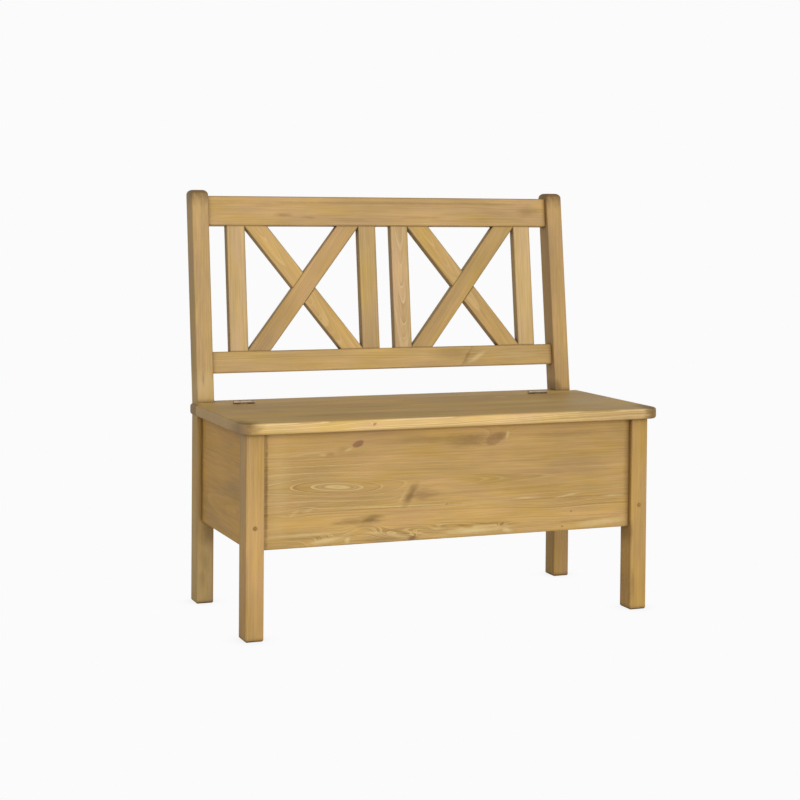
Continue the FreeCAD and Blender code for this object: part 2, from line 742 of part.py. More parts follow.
for side, middle in (("left", "-(bay_middle)"), ("right", "bay_middle")):
    nodes.append(cross_bar(f"cross_rising_{side}", middle, 1))
    nodes.append(cross_bar(f"cross_falling_{side}", middle, -1))
for side, middle in zip(("left", "right"), hinge_places()):
    nodes.append(hinge_leaf(f"hinge_leaf_fixed_{side}", middle, 1))
    nodes.append(hinge_leaf(f"hinge_leaf_lid_{side}", middle, -1))
    nodes.append(hinge_pin(f"hinge_pin_{side}", middle))

doc.recompute()
for item in doc.Objects:
    if "Invalid" in item.State or "Error" in item.State:
        raise RuntimeError(f"{item.Label} didn't rebuild: {item.State}")
for node in nodes:
    if node.Shape.isNull() or not node.Shape.isValid():
        raise RuntimeError(f"{node.Label} has no valid shape")

os.makedirs("parts", exist_ok=True)
for node in nodes:
    node.Shape.exportStep(f"parts/{node.Label}.step")
print(len(nodes), "nodes written")
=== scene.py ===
# %% [markdown]
# # A storage bench in waxed pine
#
# The bench has two front legs and two long rear posts, a chest between them under a hinged seat, and
# a leaning back with two half-lapped crosses. All of it is pine that was brushed, stained and waxed,
# so almost every surface is the same stuff seen from another side: along the grain, across it, or at
# the end of a board.
# The construction is already there as solids. This lesson gives them their wood, adds the small
# screws that were left out of the solids, and lights the bench like a shop picture.

# %% Load the fixed frame
import math

import bpy
import numpy as np
from mathutils import Matrix, Vector


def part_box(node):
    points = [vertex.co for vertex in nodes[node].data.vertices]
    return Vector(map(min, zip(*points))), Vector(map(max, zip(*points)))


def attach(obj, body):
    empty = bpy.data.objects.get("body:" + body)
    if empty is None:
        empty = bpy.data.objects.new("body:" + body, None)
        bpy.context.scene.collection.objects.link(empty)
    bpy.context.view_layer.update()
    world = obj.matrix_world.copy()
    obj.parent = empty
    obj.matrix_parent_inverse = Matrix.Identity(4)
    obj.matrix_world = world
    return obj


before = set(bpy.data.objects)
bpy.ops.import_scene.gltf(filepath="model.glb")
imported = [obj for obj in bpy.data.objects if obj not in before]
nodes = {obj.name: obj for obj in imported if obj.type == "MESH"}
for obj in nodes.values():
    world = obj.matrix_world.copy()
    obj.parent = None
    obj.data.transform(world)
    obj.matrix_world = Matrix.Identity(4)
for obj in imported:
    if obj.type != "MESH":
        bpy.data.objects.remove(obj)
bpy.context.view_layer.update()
print("pieces in the frame:", len(nodes))

# %% [markdown]
# ## The camera
#
# A photograph fixes its camera: the vanishing lines of the long rails and of the short seat ends
# give the turn and the focal length, and the bench's own height gives the distance. The picture was
# cropped after it was taken, so its optical axis isn't in the middle. That could be copied by
# turning the camera, which would bend the posts' upright lines, so the lens is shifted instead.

# %% Place the camera
MM = 0.001
EYE = Vector((-1565.69, -3846.59, 931.08)) * MM
TURN = math.radians(21.829)
TILT = math.radians(1.561)
ROLL = math.radians(0.478)
FOCAL_PIXELS = 1786.7
PICTURE_PIXELS = 800
AXIS_PIXEL = (406.87, 252.65)
SENSOR = 36.0


def camera_turn():
    """Rows are the camera's right, up and backward directions: the forward direction comes from the
    turn and the tilt, right is level, up is right cross forward, and both then roll together."""
    level_share = math.cos(TILT)
    forward = Vector((math.sin(TURN) * level_share, math.cos(TURN) * level_share, -math.sin(TILT)))
    level = Vector((math.cos(TURN), -math.sin(TURN), 0.0))
    upright = level.cross(forward)
    right = level * math.cos(ROLL) + upright * math.sin(ROLL)
    up = upright * math.cos(ROLL) - level * math.sin(ROLL)
    return Matrix((right, up, -forward))


lens = bpy.data.cameras.new("photo_camera")
lens.sensor_width = SENSOR
lens.lens = SENSOR * FOCAL_PIXELS / PICTURE_PIXELS
lens.shift_x = (PICTURE_PIXELS / 2 - AXIS_PIXEL[0]) / PICTURE_PIXELS
lens.shift_y = -(PICTURE_PIXELS / 2 - AXIS_PIXEL[1]) / PICTURE_PIXELS
camera = bpy.data.objects.new("photo_camera", lens)
camera.matrix_world = Matrix.Translation(EYE) @ camera_turn().transposed().to_4x4()
bpy.context.scene.collection.objects.link(camera)
bpy.context.scene.camera = camera
print("lens", round(lens.lens, 2), "mm, shift", round(lens.shift_x, 4), round(lens.shift_y, 4))

# %% [markdown]
# ## Small helpers for node trees
#
# A material is a graph, and long graphs are hard to read when each node takes five lines. These
# helpers add one node in one line and hand back its output, so that a tree reads like a formula.

# %% Helpers that add nodes
NOISE_ROUGHNESS = 0.55


def feed(tree, socket, value):
    """Links another node's output to a socket, or sets the socket to a plain value."""
    if isinstance(value, bpy.types.NodeSocket):
        tree.links.new(value, socket)
    else:
        socket.default_value = value


def add(tree, kind, inputs=None, **settings):
    """Adds a node of that kind. inputs maps a socket's name or number to a value or an output."""
    made = tree.nodes.new(kind)
    for name, value in settings.items():
        setattr(made, name, value)
    for key, value in (inputs or {}).items():
        feed(tree, made.inputs[key], value)
    return made


def calc(tree, operation, *values):
    """One Math node; returns its output."""
    return add(tree, "ShaderNodeMath", dict(enumerate(values)), operation=operation).outputs[0]


def steer(tree, operation, *values):
    """One Vector Math node; returns its output."""
    made = add(tree, "ShaderNodeVectorMath", dict(enumerate(values)), operation=operation)
    return made.outputs["Value" if operation in ("LENGTH", "DOT_PRODUCT") else "Vector"]


def ramp(tree, value, low, high, start=0.0, end=1.0):
    """A smooth step: start below low, end above high."""
    inputs = {"Value": value, "From Min": low, "From Max": high, "To Min": start, "To Max": end}
    return add(tree, "ShaderNodeMapRange", inputs, interpolation_type="SMOOTHSTEP").outputs[0]


def mix(tree, share, first, second, how="MIX"):
    """Blends two colours by a share."""
    inputs = {0: share, 6: first, 7: second}
    return add(tree, "ShaderNodeMix", inputs, data_type="RGBA", blend_type=how).outputs[2]


def noise(tree, place, stretch, detail=2.0):
    """Noise from 0 to 1 around 0.5. The stretch says how many waves go to a metre on each axis."""
    moved = steer(tree, "MULTIPLY", place, stretch)
    inputs = {"Vector": moved, "Scale": 1.0, "Detail": detail, "Roughness": NOISE_ROUGHNESS}
    return add(tree, "ShaderNodeTexNoise", inputs).outputs[0]


def sway(tree, tone, value, amount):
    """Adds amount * (value - 0.5) to a tone."""
    return calc(tree, "MULTIPLY_ADD", calc(tree, "SUBTRACT", value, 0.5), amount, tone)


def split(tree, place):
    """The three coordinates of a place."""
    return add(tree, "ShaderNodeSeparateXYZ", {0: place}).outputs[:]


print("helpers for single nodes, noise roughness", NOISE_ROUGHNESS)

# %% [markdown]
# ## Small helpers for groups, materials and colours
#
# A node group is a function for materials: it has named inputs and results and is built once. It
# could be copied into each material by hand, but then a change would have to be made in all of them.

# %% Helpers that make groups, materials and colours


def new_group(name, inputs, outputs):
    """A shader node group with named sockets: a number makes a value socket, three numbers a vector,
    four a colour. Returns its tree, what it is given and where its results go."""
    tree = bpy.data.node_groups.new(name, "ShaderNodeTree")
    for way, sockets in (("INPUT", inputs), ("OUTPUT", outputs)):
        for label, value in sockets.items():
            size = len(value) if isinstance(value, tuple) else 1
            kind = {1: "NodeSocketFloat", 3: "NodeSocketVector", 4: "NodeSocketColor"}[size]
            made = tree.interface.new_socket(name=label, in_out=way, socket_type=kind)
            made.default_value = value
    given = tree.nodes.new("NodeGroupInput").outputs
    results = tree.nodes.new("NodeGroupOutput").inputs
    return tree, given, results


def hand_out(tree, results, values):
    """Links each named result of a group."""
    for label, value in values.items():
        tree.links.new(value, results[label])


def place_group(tree, group, inputs):
    """Puts a group into a tree with its own values and returns its outputs."""
    return add(tree, "ShaderNodeGroup", inputs, node_tree=group).outputs


def new_material(name):
    """An empty material and its node tree."""
    material = bpy.data.materials.new(name)
    material.use_nodes = True
    material.node_tree.nodes.clear()
    return material, material.node_tree


def linear(hex_colour):
    """A colour as a web page writes it, turned by the standard screen curve into the linear values
    that a shader works in."""
    shares = [int(hex_colour[i : i + 2], 16) / 255 for i in (1, 3, 5)]
    values = [((s + 0.055) / 1.055) ** 2.4 if s > 0.04045 else s / 12.92 for s in shares]
    return (*values, 1.0)


print("middle grey in linear light:", round(linear("#808080")[0], 3))


# %% [markdown]
# ## Growth rings
#
# Wood isn't a picture on a surface. It is a solid: a trunk of cones, one for each year, and a board
# is a flat cut through them. Painting lines along each face would be easier, but then the figure on
# a face, the lines on its edge and the arcs on its end wouldn't meet. So the ring pattern is worked
# out in space. Each board says where the middle of its tree was (its pith). The distance from there,
# warped by slow noise and divided by the width of a year, is the number of the ring. A board cut
# near the pith shows flames, because the cones run out of its face; one cut far from it shows
# straight lines. Wire brushing digs a furrow into the soft side of each year and leaves the hard
# side as a ridge.

# %% Growth rings as a node group
SLOW_WANDER, QUICK_WANDER = 2.4, 0.4
UNEVEN_PACE, UNEVEN_YEARS = 0.4, 1.6
FURROW_OPENS, FURROW_TO_RIDGE, RIDGE_ENDS = (0.36, 0.72), (0.76, 0.87), (0.91, 1.0)


def build_rings():
    """Ring number = (distance from the pith + wander + push) / year, with the pith drifting along the
    board. Its fraction is the share of the year: first the furrow, then the ridge."""
    tree, given, results = new_group(
        "growth_rings",
        {
            "Place": (0.0, 0.0, 0.0), "Pith": (0.0, 0.0, 0.0), "Drift": 0.0,
            "Year": 0.004, "Wander": 0.01, "Push": 0.0,
        },
        {"Furrow": 0.0, "Ridge": 0.0},
    )
    place = given["Place"]
    along, across, deep = split(tree, place)
    _, pith_across, pith_deep = split(tree, given["Pith"])
    slow = noise(tree, place, (1.6, 6.0, 6.0), detail=1.0)
    quick = noise(tree, place, (8.0, 30.0, 30.0))
    drift = calc(tree, "MULTIPLY_ADD", along, given["Drift"], pith_deep)
    away_across = calc(tree, "SUBTRACT", across, pith_across)
    away_deep = calc(tree, "SUBTRACT", deep, drift)
    away = add(tree, "ShaderNodeCombineXYZ", {1: away_across, 2: away_deep}).outputs[0]
    warped = calc(tree, "ADD", steer(tree, "LENGTH", away), given["Push"])
    for wave, amount in ((slow, SLOW_WANDER), (quick, QUICK_WANDER)):
        warped = sway(tree, warped, wave, calc(tree, "MULTIPLY", given["Wander"], amount))
    age = calc(tree, "DIVIDE", warped, given["Year"])
    pace = {"W": calc(tree, "MULTIPLY", age, UNEVEN_PACE), "Detail": 1.0}
    uneven = add(tree, "ShaderNodeTexNoise", pace, noise_dimensions="1D").outputs[0]
    share = calc(tree, "FRACT", calc(tree, "MULTIPLY_ADD", uneven, UNEVEN_YEARS, age))
    opens, closes = ramp(tree, share, *FURROW_OPENS), ramp(tree, share, *FURROW_TO_RIDGE, 1.0, 0.0)
    rises, ends = ramp(tree, share, *FURROW_TO_RIDGE), ramp(tree, share, *RIDGE_ENDS, 1.0, 0.0)
    furrow, ridge = calc(tree, "MULTIPLY", opens, closes), calc(tree, "MULTIPLY", rises, ends)
    hand_out(tree, results, {"Furrow": furrow, "Ridge": ridge})
    return tree


RINGS = build_rings()
print("node group:", RINGS.name)

# %% [markdown]
# ## Knots
#
# A knot is a branch that the trunk grew around. It is darker and harder than the board, and the
# rings of the trunk bend around it, like water round a stone. A dark spot alone looks like a stain,
# because nothing bends. So the group gives both: a core to colour, and a push that the growth rings
# add to their radius. A push without a core is a swell, or a hollow where its height is negative.
# It draws the closed loops that show where a saw grazed an uneven trunk.

# %% A knot as a node group
CORE_EDGE, CORE_ROUGH = (0.72, 1.12), 0.7
PUSH_FALL = -0.3


def build_knot():
    """Distance = length of (along / stretch, across - lean * along) / size. Core = smooth step of it
    with a rough edge; push = size * height * exp(-0.3 * distance squared)."""
    tree, given, results = new_group(
        "knot",
        {
            "Along": 0.0, "Across": 0.0, "Rough": 0.5, "Centre along": 0.0, "Centre across": 0.0,
            "Size": 0.01, "Stretch": 1.8, "Lean": 0.3, "Height": 1.5, "Dark": 1.0,
            "Push": 0.0, "Core": 0.0,
        },
        {"Push": 0.0, "Core": 0.0},
    )
    along = calc(tree, "SUBTRACT", given["Along"], given["Centre along"])
    across = calc(tree, "SUBTRACT", given["Across"], given["Centre across"])
    leaning = calc(tree, "SUBTRACT", across, calc(tree, "MULTIPLY", along, given["Lean"]))
    across = calc(tree, "DIVIDE", leaning, given["Size"])
    along = calc(tree, "DIVIDE", calc(tree, "DIVIDE", along, given["Stretch"]), given["Size"])
    square = calc(tree, "MULTIPLY_ADD", across, across, calc(tree, "MULTIPLY", along, along))
    edge = sway(tree, calc(tree, "SQRT", square), given["Rough"], CORE_ROUGH)
    core = calc(tree, "MULTIPLY", ramp(tree, edge, *CORE_EDGE, 1.0, 0.0), given["Dark"])
    bell = calc(tree, "EXPONENT", calc(tree, "MULTIPLY", square, PUSH_FALL))
    top = calc(tree, "MULTIPLY", given["Size"], given["Height"])
    push = calc(tree, "ADD", calc(tree, "MULTIPLY", bell, top), given["Push"])
    core = calc(tree, "MAXIMUM", core, given["Core"])
    hand_out(tree, results, {"Push": push, "Core": core})
    return tree


KNOT = build_knot()
print("node group:", KNOT.name)

# %% [markdown]
# ## Marks
#
# Wax and stain don't lie evenly. They pool beside a knot as a smoky patch, miss a stretch of ridge,
# and let the figure stand out in one place and vanish in another. Noise alone makes such things
# anywhere, so the ones that the photograph shows are listed: each is a soft, ragged ellipse with its
# own place, length, width and tilt. The same mask serves for a dark patch, a painted shadow, a pale
# streak, a patch of painted light or a field of strong figure.

# %% A mark as a node group
MARK_FADE = (0.1, 1.25)


def build_mark():
    """Mask = smooth step of the length of (along / length, across / width), after a turn by the tilt
    and with a ragged edge. The larger of it and the mask before goes on."""
    tree, given, results = new_group(
        "mark",
        {
            "Along": 0.0, "Across": 0.0, "Rough": 0.5, "Centre along": 0.0, "Centre across": 0.0,
            "Length": 0.03, "Width": 0.01, "Tilt": 0.0, "Strength": 1.0, "Ragged": 1.0, "Mask": 0.0,
        },
        {"Mask": 0.0},
    )
    along = calc(tree, "SUBTRACT", given["Along"], given["Centre along"])
    across = calc(tree, "SUBTRACT", given["Across"], given["Centre across"])
    cosine, sine = calc(tree, "COSINE", given["Tilt"]), calc(tree, "SINE", given["Tilt"])
    long_way = calc(tree, "MULTIPLY_ADD", across, sine, calc(tree, "MULTIPLY", along, cosine))
    upright, leant = calc(tree, "MULTIPLY", across, cosine), calc(tree, "MULTIPLY", along, sine)
    short_way = calc(tree, "SUBTRACT", upright, leant)
    long_way = calc(tree, "DIVIDE", long_way, given["Length"])
    short_way = calc(tree, "DIVIDE", short_way, given["Width"])
    square = calc(tree, "MULTIPLY", long_way, long_way)
    square = calc(tree, "MULTIPLY_ADD", short_way, short_way, square)
    ragged = sway(tree, calc(tree, "SQRT", square), given["Rough"], given["Ragged"])
    mask = calc(tree, "MULTIPLY", ramp(tree, ragged, *MARK_FADE, 1.0, 0.0), given["Strength"])
    hand_out(tree, results, {"Mask": calc(tree, "MAXIMUM", mask, given["Mask"])})
    return tree


MARK = build_mark()
print("node group:", MARK.name)

# %% [markdown]
# ## Boards
#
# The chest and the seat are wider than any pine plank, so each is glued up from two or three boards.
# A joint hardly shows as a line; it shows because the figure stops there and another tree goes on.
# The first group cuts a panel into strips and moves each strip's place in its tree by a random step.
# A long rail can also be joined end to end, with a slanted scarf that gives the glue more to hold.
# The second group cuts a board in two along such a slanting line.

# %% Glued boards as node groups
STRIP_SLIDE, GLUE_LINE = 7.0, (0.0002, 0.0012)
SCARF_SLIDE, SCARF_CUT, SCARF_LINE = 3.3, (-0.0004, 0.0004), (0.0003, 0.0014)


def build_boards():
    """Strip number = floor((across - start) / width). Each strip is centred on itself, slid along its
    tree by chance, and moved across its tree by shift * number."""
    tree, given, results = new_group(
        "glued_boards",
        {"Place": (0.0, 0.0, 0.0), "Width": 0.2, "Start": 0.0, "Seed": 0.0, "Shift": 0.0},
        {"Place": (0.0, 0.0, 0.0), "Joint": 0.0, "Chance": 0.0},
    )
    along, across, deep = split(tree, given["Place"])
    width = given["Width"]
    strips = calc(tree, "DIVIDE", calc(tree, "SUBTRACT", across, given["Start"]), width)
    number = calc(tree, "FLOOR", strips)
    inside = calc(tree, "SUBTRACT", calc(tree, "FRACT", strips), 0.5)
    key = {"W": calc(tree, "ADD", number, given["Seed"])}
    chance = add(tree, "ShaderNodeTexWhiteNoise", key, noise_dimensions="1D").outputs["Value"]
    slid = calc(tree, "MULTIPLY_ADD", chance, STRIP_SLIDE, along)
    centred = calc(tree, "MULTIPLY", inside, width)
    centred = calc(tree, "MULTIPLY_ADD", number, given["Shift"], centred)
    moved = add(tree, "ShaderNodeCombineXYZ", {0: slid, 1: centred, 2: deep}).outputs[0]
    edge = calc(tree, "SUBTRACT", 0.5, calc(tree, "ABSOLUTE", inside))
    joint = ramp(tree, calc(tree, "MULTIPLY", edge, width), *GLUE_LINE, 1.0, 0.0)
    hand_out(tree, results, {"Place": moved, "Joint": joint, "Chance": chance})
    return tree


def build_scarf():
    """Side = smooth step of (place - point) . across. The far side comes from another stretch of the
    tree, and the joint is dark where the distance to the cut is small."""
    tree, given, results = new_group(
        "scarf",
        {"Place": (0.0, 0.0, 0.0), "Point": (0.0, 0.0, 0.0), "Across": (1.0, 0.0, 0.0)},
        {"Place": (0.0, 0.0, 0.0), "Joint": 0.0, "Chance": 0.0},
    )
    away = steer(tree, "SUBTRACT", given["Place"], given["Point"])
    far = steer(tree, "DOT_PRODUCT", away, given["Across"])
    side = ramp(tree, far, *SCARF_CUT)
    slide = calc(tree, "MULTIPLY", side, SCARF_SLIDE)
    slide = add(tree, "ShaderNodeCombineXYZ", {0: slide}).outputs[0]
    moved = steer(tree, "ADD", given["Place"], slide)
    joint = ramp(tree, calc(tree, "ABSOLUTE", far), *SCARF_LINE, 1.0, 0.0)
    hand_out(tree, results, {"Place": moved, "Joint": joint, "Chance": side})
    return tree


BOARDS = build_boards()
SCARF = build_scarf()
print("node groups:", BOARDS.name, SCARF.name)

# %% [markdown]
# ## Edges, corners and ends
#
# Three things happen where surfaces meet. The rounded arrises are painted darker, in patches. The
# inner corners get painted shade, darker than the light alone makes them. And the ends of a board
# drink more stain than its sides, so every surface that cuts across the grain is darker and redder.
# All three could be painted on by hand, but that would break when a piece changes. Instead a Bevel
# node finds the edges, an Ambient Occlusion node finds the corners, and the angle between the surface
# and the grain finds the ends.

# %% Edges, corners and ends as node groups
ARRIS_TURN, ARRIS_PATCHES, ARRIS_LEAST = (0.004, 0.1), (0.3, 0.7), 0.35
CLOSED_IN, END_TURN = (0.42, 0.92), (0.25, 0.8)


def build_edges():
    """Darker arrises = smooth step of 1 - (rounded direction . true direction), made patchy by noise;
    painted shade in corners = 1 - the open share of the air around."""
    tree, given, results = new_group(
        "edges_and_corners",
        {"Place": (0.0, 0.0, 0.0), "Radius": 0.0055, "Reach": 0.016},
        {"Arris_band": 0.0, "Painted_shade": 0.0},
    )
    # The Bevel node finds the rounded arrises, which are painted darker in patches.
    rounded = add(tree, "ShaderNodeBevel", {"Radius": given["Radius"]}, samples=6).outputs[0]
    true = add(tree, "ShaderNodeNewGeometry").outputs["True Normal"]
    turned = calc(tree, "SUBTRACT", 1.0, steer(tree, "DOT_PRODUCT", rounded, true))
    edge = ramp(tree, turned, *ARRIS_TURN)
    patches = noise(tree, given["Place"], (9.0, 9.0, 9.0), detail=3.0)
    edge_band = calc(tree, "MULTIPLY", edge, ramp(tree, patches, *ARRIS_PATCHES, ARRIS_LEAST, 1.0))
    nearby = {"Distance": given["Reach"]}
    # Painted shade: the Ambient Occlusion node darkens the inner corners, where shade falls.
    open_air = add(tree, "ShaderNodeAmbientOcclusion", nearby, samples=8).outputs["AO"]
    hand_out(tree, results, {"Arris_band": edge_band, "Painted_shade": ramp(tree, open_air, *CLOSED_IN, 1.0, 0.0)})
    return tree


def build_end():
    """End = smooth step of |surface direction . grain direction|."""
    tree, given, results = new_group(
        "end_grain", {"Normal": (0.0, 0.0, 1.0), "Grain": (1.0, 0.0, 0.0)}, {"End": 0.0}
    )
    facing = calc(tree, "ABSOLUTE", steer(tree, "DOT_PRODUCT", given["Normal"], given["Grain"]))
    hand_out(tree, results, {"End": ramp(tree, facing, *END_TURN)})
    return tree


EDGES = build_edges()
END = build_end()
print("node groups:", EDGES.name, END.name)

# %% [markdown]
# ## The waxed finish
#
# The maker brushes the pine with wire, stains it honey brown and waxes it. Stain sinks into the soft
# wood, so the hard ridges stay paler: on this bench the lines are light, with a dark furrow beside
# each. Over that lie colours that change slowly along the grain, from gold to a rosy tan. The group
# turns the rings, marks, knots, joints, edges and ends into a colour, a roughness and a height.

# %% The colour as a node group
GOLD, TAN, ROSY = "#C6A05A", "#C7A267", "#C59F6C"
FURROW, RIDGE = "#A57E48", "#E4CA96"
BARK_DARK, BARK_PALE, SMOKE = "#70493A", "#A27450", "#74572C"
SHADE_BROWN, ARRIS, END_GREY, SHADED = "#6A4E1E", "#7C6238", "#8F7458", "#D3D0C2"
TONES = {"Cloud": 0.78, "Streak": 0.38, "Fibre": 0.42, "Chance": 0.12}
ROSY_TO_TAN, TAN_TO_GOLD = (0.3, 0.52), (0.48, 0.7)
RINGS_SHOWN = {"Furrow": 0.85, "Ridge": 0.95}


def build_colour():
    """Colour = slow mix of gold, tan and rose, times the board's tone, with furrows and ridges laid
    over it. Tone = 1 + the sum of amount * (noise - 0.5) over clouds, streaks, fibres and chance."""
    tree, given, results = new_group(
        "stained_pine",
        {
            "Place": (0.0, 0.0, 0.0), "Furrow": 0.0, "Ridge": 0.0, "Chance": 0.5,
            "Gold": linear(GOLD), "Tan": linear(TAN), "Rosy": linear(ROSY),
        },
        {"Colour": (0.5, 0.4, 0.2, 1.0), "Fibre": 0.5, "Cloud": 0.5},
    )
    place = given["Place"]
    fibre = noise(tree, place, (12.0, 300.0, 300.0), detail=3.0)
    streak = noise(tree, place, (4.0, 105.0, 105.0), detail=3.0)
    cloud = noise(tree, place, (3.5, 13.0, 13.0), detail=3.0)
    elsewhere = steer(tree, "ADD", place, (5.1, 2.7, 9.3))
    hue = noise(tree, elsewhere, (6.5, 26.0, 26.0))
    colour = mix(tree, ramp(tree, hue, *ROSY_TO_TAN), given["Rosy"], given["Tan"])
    colour = mix(tree, ramp(tree, hue, *TAN_TO_GOLD), colour, given["Gold"])
    tone = 1.0
    waves = {"Cloud": cloud, "Streak": streak, "Fibre": fibre, "Chance": given["Chance"]}
    for label, wave in waves.items():
        tone = sway(tree, tone, wave, TONES[label])
    bright = add(tree, "ShaderNodeCombineXYZ", {0: tone, 1: tone, 2: tone}).outputs[0]
    colour = mix(tree, 1.0, colour, bright, "MULTIPLY")
    for label, over in (("Furrow", FURROW), ("Ridge", RIDGE)):
        shown = calc(tree, "MULTIPLY", given[label], RINGS_SHOWN[label])
        colour = mix(tree, shown, colour, linear(over))
    hand_out(tree, results, {"Colour": colour, "Fibre": fibre, "Cloud": cloud})
    return tree


COLOUR = build_colour()
print("node group:", COLOUR.name)

# %% The finish as a node group
LAYERS = {"Stain_and_shade": 0.8, "Core": 0.72, "Joint": 0.3, "Arris_band": 0.8, "End": 0.6, "Painted_shade": 0.8}
SATIN_ROUGH = {"Cloud": 0.25, "Arris_band": -0.08, "End": 0.12}
RELIEF = {"Fibre": 0.3, "Ridge": 0.7, "Furrow": -0.4, "Joint": -0.6, "Core": 0.3}


def build_finish():
    """Colour = stained pine, then dark patches and painted shadows, knots, joints, darker arrises, end
    grain, the painted shade and grey reflection of the top, the piece's own tint, and the painted
    shade of corners and of faces that look sideways or up. Roughness and height = sums of amount *
    mask."""
    masks = ("Furrow", "Ridge", "Stain_and_shade", "Core", "Joint", "Arris_band", "Painted_shade", "End", "Shade")
    tree, given, results = new_group(
        "waxed_finish",
        {
            "Place": (0.0, 0.0, 0.0), "Stained": linear(TAN), "Fibre": 0.5, "Cloud": 0.5,
            **dict.fromkeys(masks, 0.0), "Tint": (1.0, 1.0, 1.0, 1.0),
        },
        {"Colour": (0.5, 0.4, 0.2, 1.0), "Roughness": 0.5, "Height": 0.0},
    )

    def lay(label, over, under):
        """Lays a colour over another one where the named mask says."""
        return mix(tree, calc(tree, "MULTIPLY", given[label], LAYERS[label]), under, over)

    # One layer for dark patches of stain and for painted shadows.
    colour = lay("Stain_and_shade", linear(SMOKE), given["Stained"])
    speckle = noise(tree, given["Place"], (80.0, 160.0, 160.0))
    colour = lay("Core", mix(tree, speckle, linear(BARK_DARK), linear(BARK_PALE)), colour)
    for label, over in (("Joint", BARK_DARK), ("Arris_band", ARRIS), ("End", END_GREY)):
        colour = lay(label, linear(over), colour)
    # Painted shade and painted grey reflection on the seat's top.
    shaded = mix(tree, 1.0, colour, linear(SHADED), "MULTIPLY")
    colour = mix(tree, given["Shade"], colour, shaded)
    colour = mix(tree, 1.0, colour, given["Tint"], "MULTIPLY")
    # Painted shade on inner corners and on faces that look sideways or up.
    colour = lay("Painted_shade", linear(SHADE_BROWN), colour)
    rough = sway(tree, 0.5, given["Cloud"], SATIN_ROUGH["Cloud"])
    for label in ("Arris_band", "End"):
        rough = calc(tree, "MULTIPLY_ADD", given[label], SATIN_ROUGH[label], rough)
    height = calc(tree, "MULTIPLY", given["Fibre"], RELIEF["Fibre"])
    for label in ("Ridge", "Furrow", "Joint", "Core"):
        height = calc(tree, "MULTIPLY_ADD", given[label], RELIEF[label], height)
    hand_out(tree, results, {"Colour": colour, "Roughness": rough, "Height": height})
    return tree


FINISH = build_finish()
print("node group:", FINISH.name)

# %% [markdown]
# ## A board's own directions
#
# The patterns want coordinates that run along the grain, across it and into the board. The grain of
# a leaning post or of a crossing bar runs at its own angle, so the direction is measured from the
# solid: the middle of its far end minus the middle of its near end. A Mapping node then turns the
# object's coordinates into the board's.

# %% Measure the grain
NEAR_THE_END = 1.5 * MM


def corners(name):
    """All the points of a node's mesh as an array."""
    mesh = nodes[name].data
    points = np.empty(len(mesh.vertices) * 3, np.float32)
    mesh.vertices.foreach_get("co", points)
    return points.reshape(-1, 3).astype(float)


def grain_direction(name, axis):
    """From the middle of the piece's lowest points on that axis to the middle of its highest ones."""
    points = corners(name)
    level = points[:, axis]
    high = points[level > level.max() - NEAR_THE_END].mean(0)
    low = points[level < level.min() + NEAR_THE_END].mean(0)
    return Vector(high - low).normalized()


def grain_turn(along, face):
    """Rows are the directions along the grain, across it, and out of the shown face."""
    across = Vector(face).cross(along).normalized()
    return Matrix((along, across, Vector(along).cross(across)))


print("grain of a rear post:", [round(v, 3) for v in grain_direction("rear_post_left", 2)])

# %% [markdown]
# ## Where things lie on a board
#
# No two boards come from the same tree, so each gets a material of its own, built from the same
# groups. Its knots and marks are given by their place on the bench in millimetres. Small functions
# turn such a place into the board's own coordinates and chain the knots and the marks one after
# another, because a material can't loop.

# %% Knots and marks on a board
ROUGH_EDGES = (40.0, 140.0, 140.0)


def lay_out(tree, position, turn, middle, fold):
    """Place = turn * (position - middle). Returns it, its along and across with a rough noise, and a
    function that finds the same for a point in millimetres. Across gets depth * fold added."""
    turned = {"Vector": position, "Rotation": turn.to_euler(), "Location": -(turn @ middle)}
    place = add(tree, "ShaderNodeMapping", turned).outputs[0]
    along, across, deep = split(tree, place)
    across = calc(tree, "MULTIPLY_ADD", deep, fold, across)
    flat = {"Along": along, "Across": across, "Rough": noise(tree, place, ROUGH_EDGES)}

    def spot(where):
        """Where a point of the bench lies on the board."""
        shown = turn @ (Vector(where) * MM - middle)
        return {"Centre along": shown.x, "Centre across": shown.y + fold * shown.z}

    return place, flat, spot


def chain_knots(tree, flat, spot, knots, swells):
    """Adds one knot or swell after another; the pushes add up and the darkest core stays."""
    push, core = 0.0, 0.0
    rows = []
    for where, size, stretch, dark in knots:
        rows.append((where, size, {"Stretch": stretch, "Dark": dark}))
    for where, size, stretch, lean, height in swells:
        shape = {"Stretch": stretch, "Dark": 0.0, "Lean": lean, "Height": height}
        rows.append((where, size, shape))
    for where, size, shape in rows:
        inputs = {**flat, **spot(where), "Size": size * MM, **shape, "Push": push, "Core": core}
        found = place_group(tree, KNOT, inputs)
        push, core = found["Push"], found["Core"]
    return push, core


def chain_marks(tree, flat, spot, marks, start=0.0):
    """Adds one mark after another; each passes the larger mask on."""
    mask = start
    for where, length, width, tilt, strength in marks:
        size = {"Length": length * MM, "Width": width * MM, "Tilt": tilt, "Strength": strength}
        mask = place_group(tree, MARK, {**flat, **spot(where), **size, "Mask": mask})["Mask"]
    return mask


print("waves per metre in the rough edge of a mark:", ROUGH_EDGES)

# %% [markdown]
# ## One material for each board
#
# The tree's middle is a few centimetres behind the face where the photograph shows flames, and far to
# one side where it shows straight lines. Faces that look sideways, such as the narrow sides of the
# slats, get painted shade, and faces that look up in the back get painted shade too. Both are found
# from the direction of the surface, as the end grain is.

# %% Joints and wax on a board
SIDEWAYS, UPWARD = (0.3, 0.65), (0.2, 0.6)


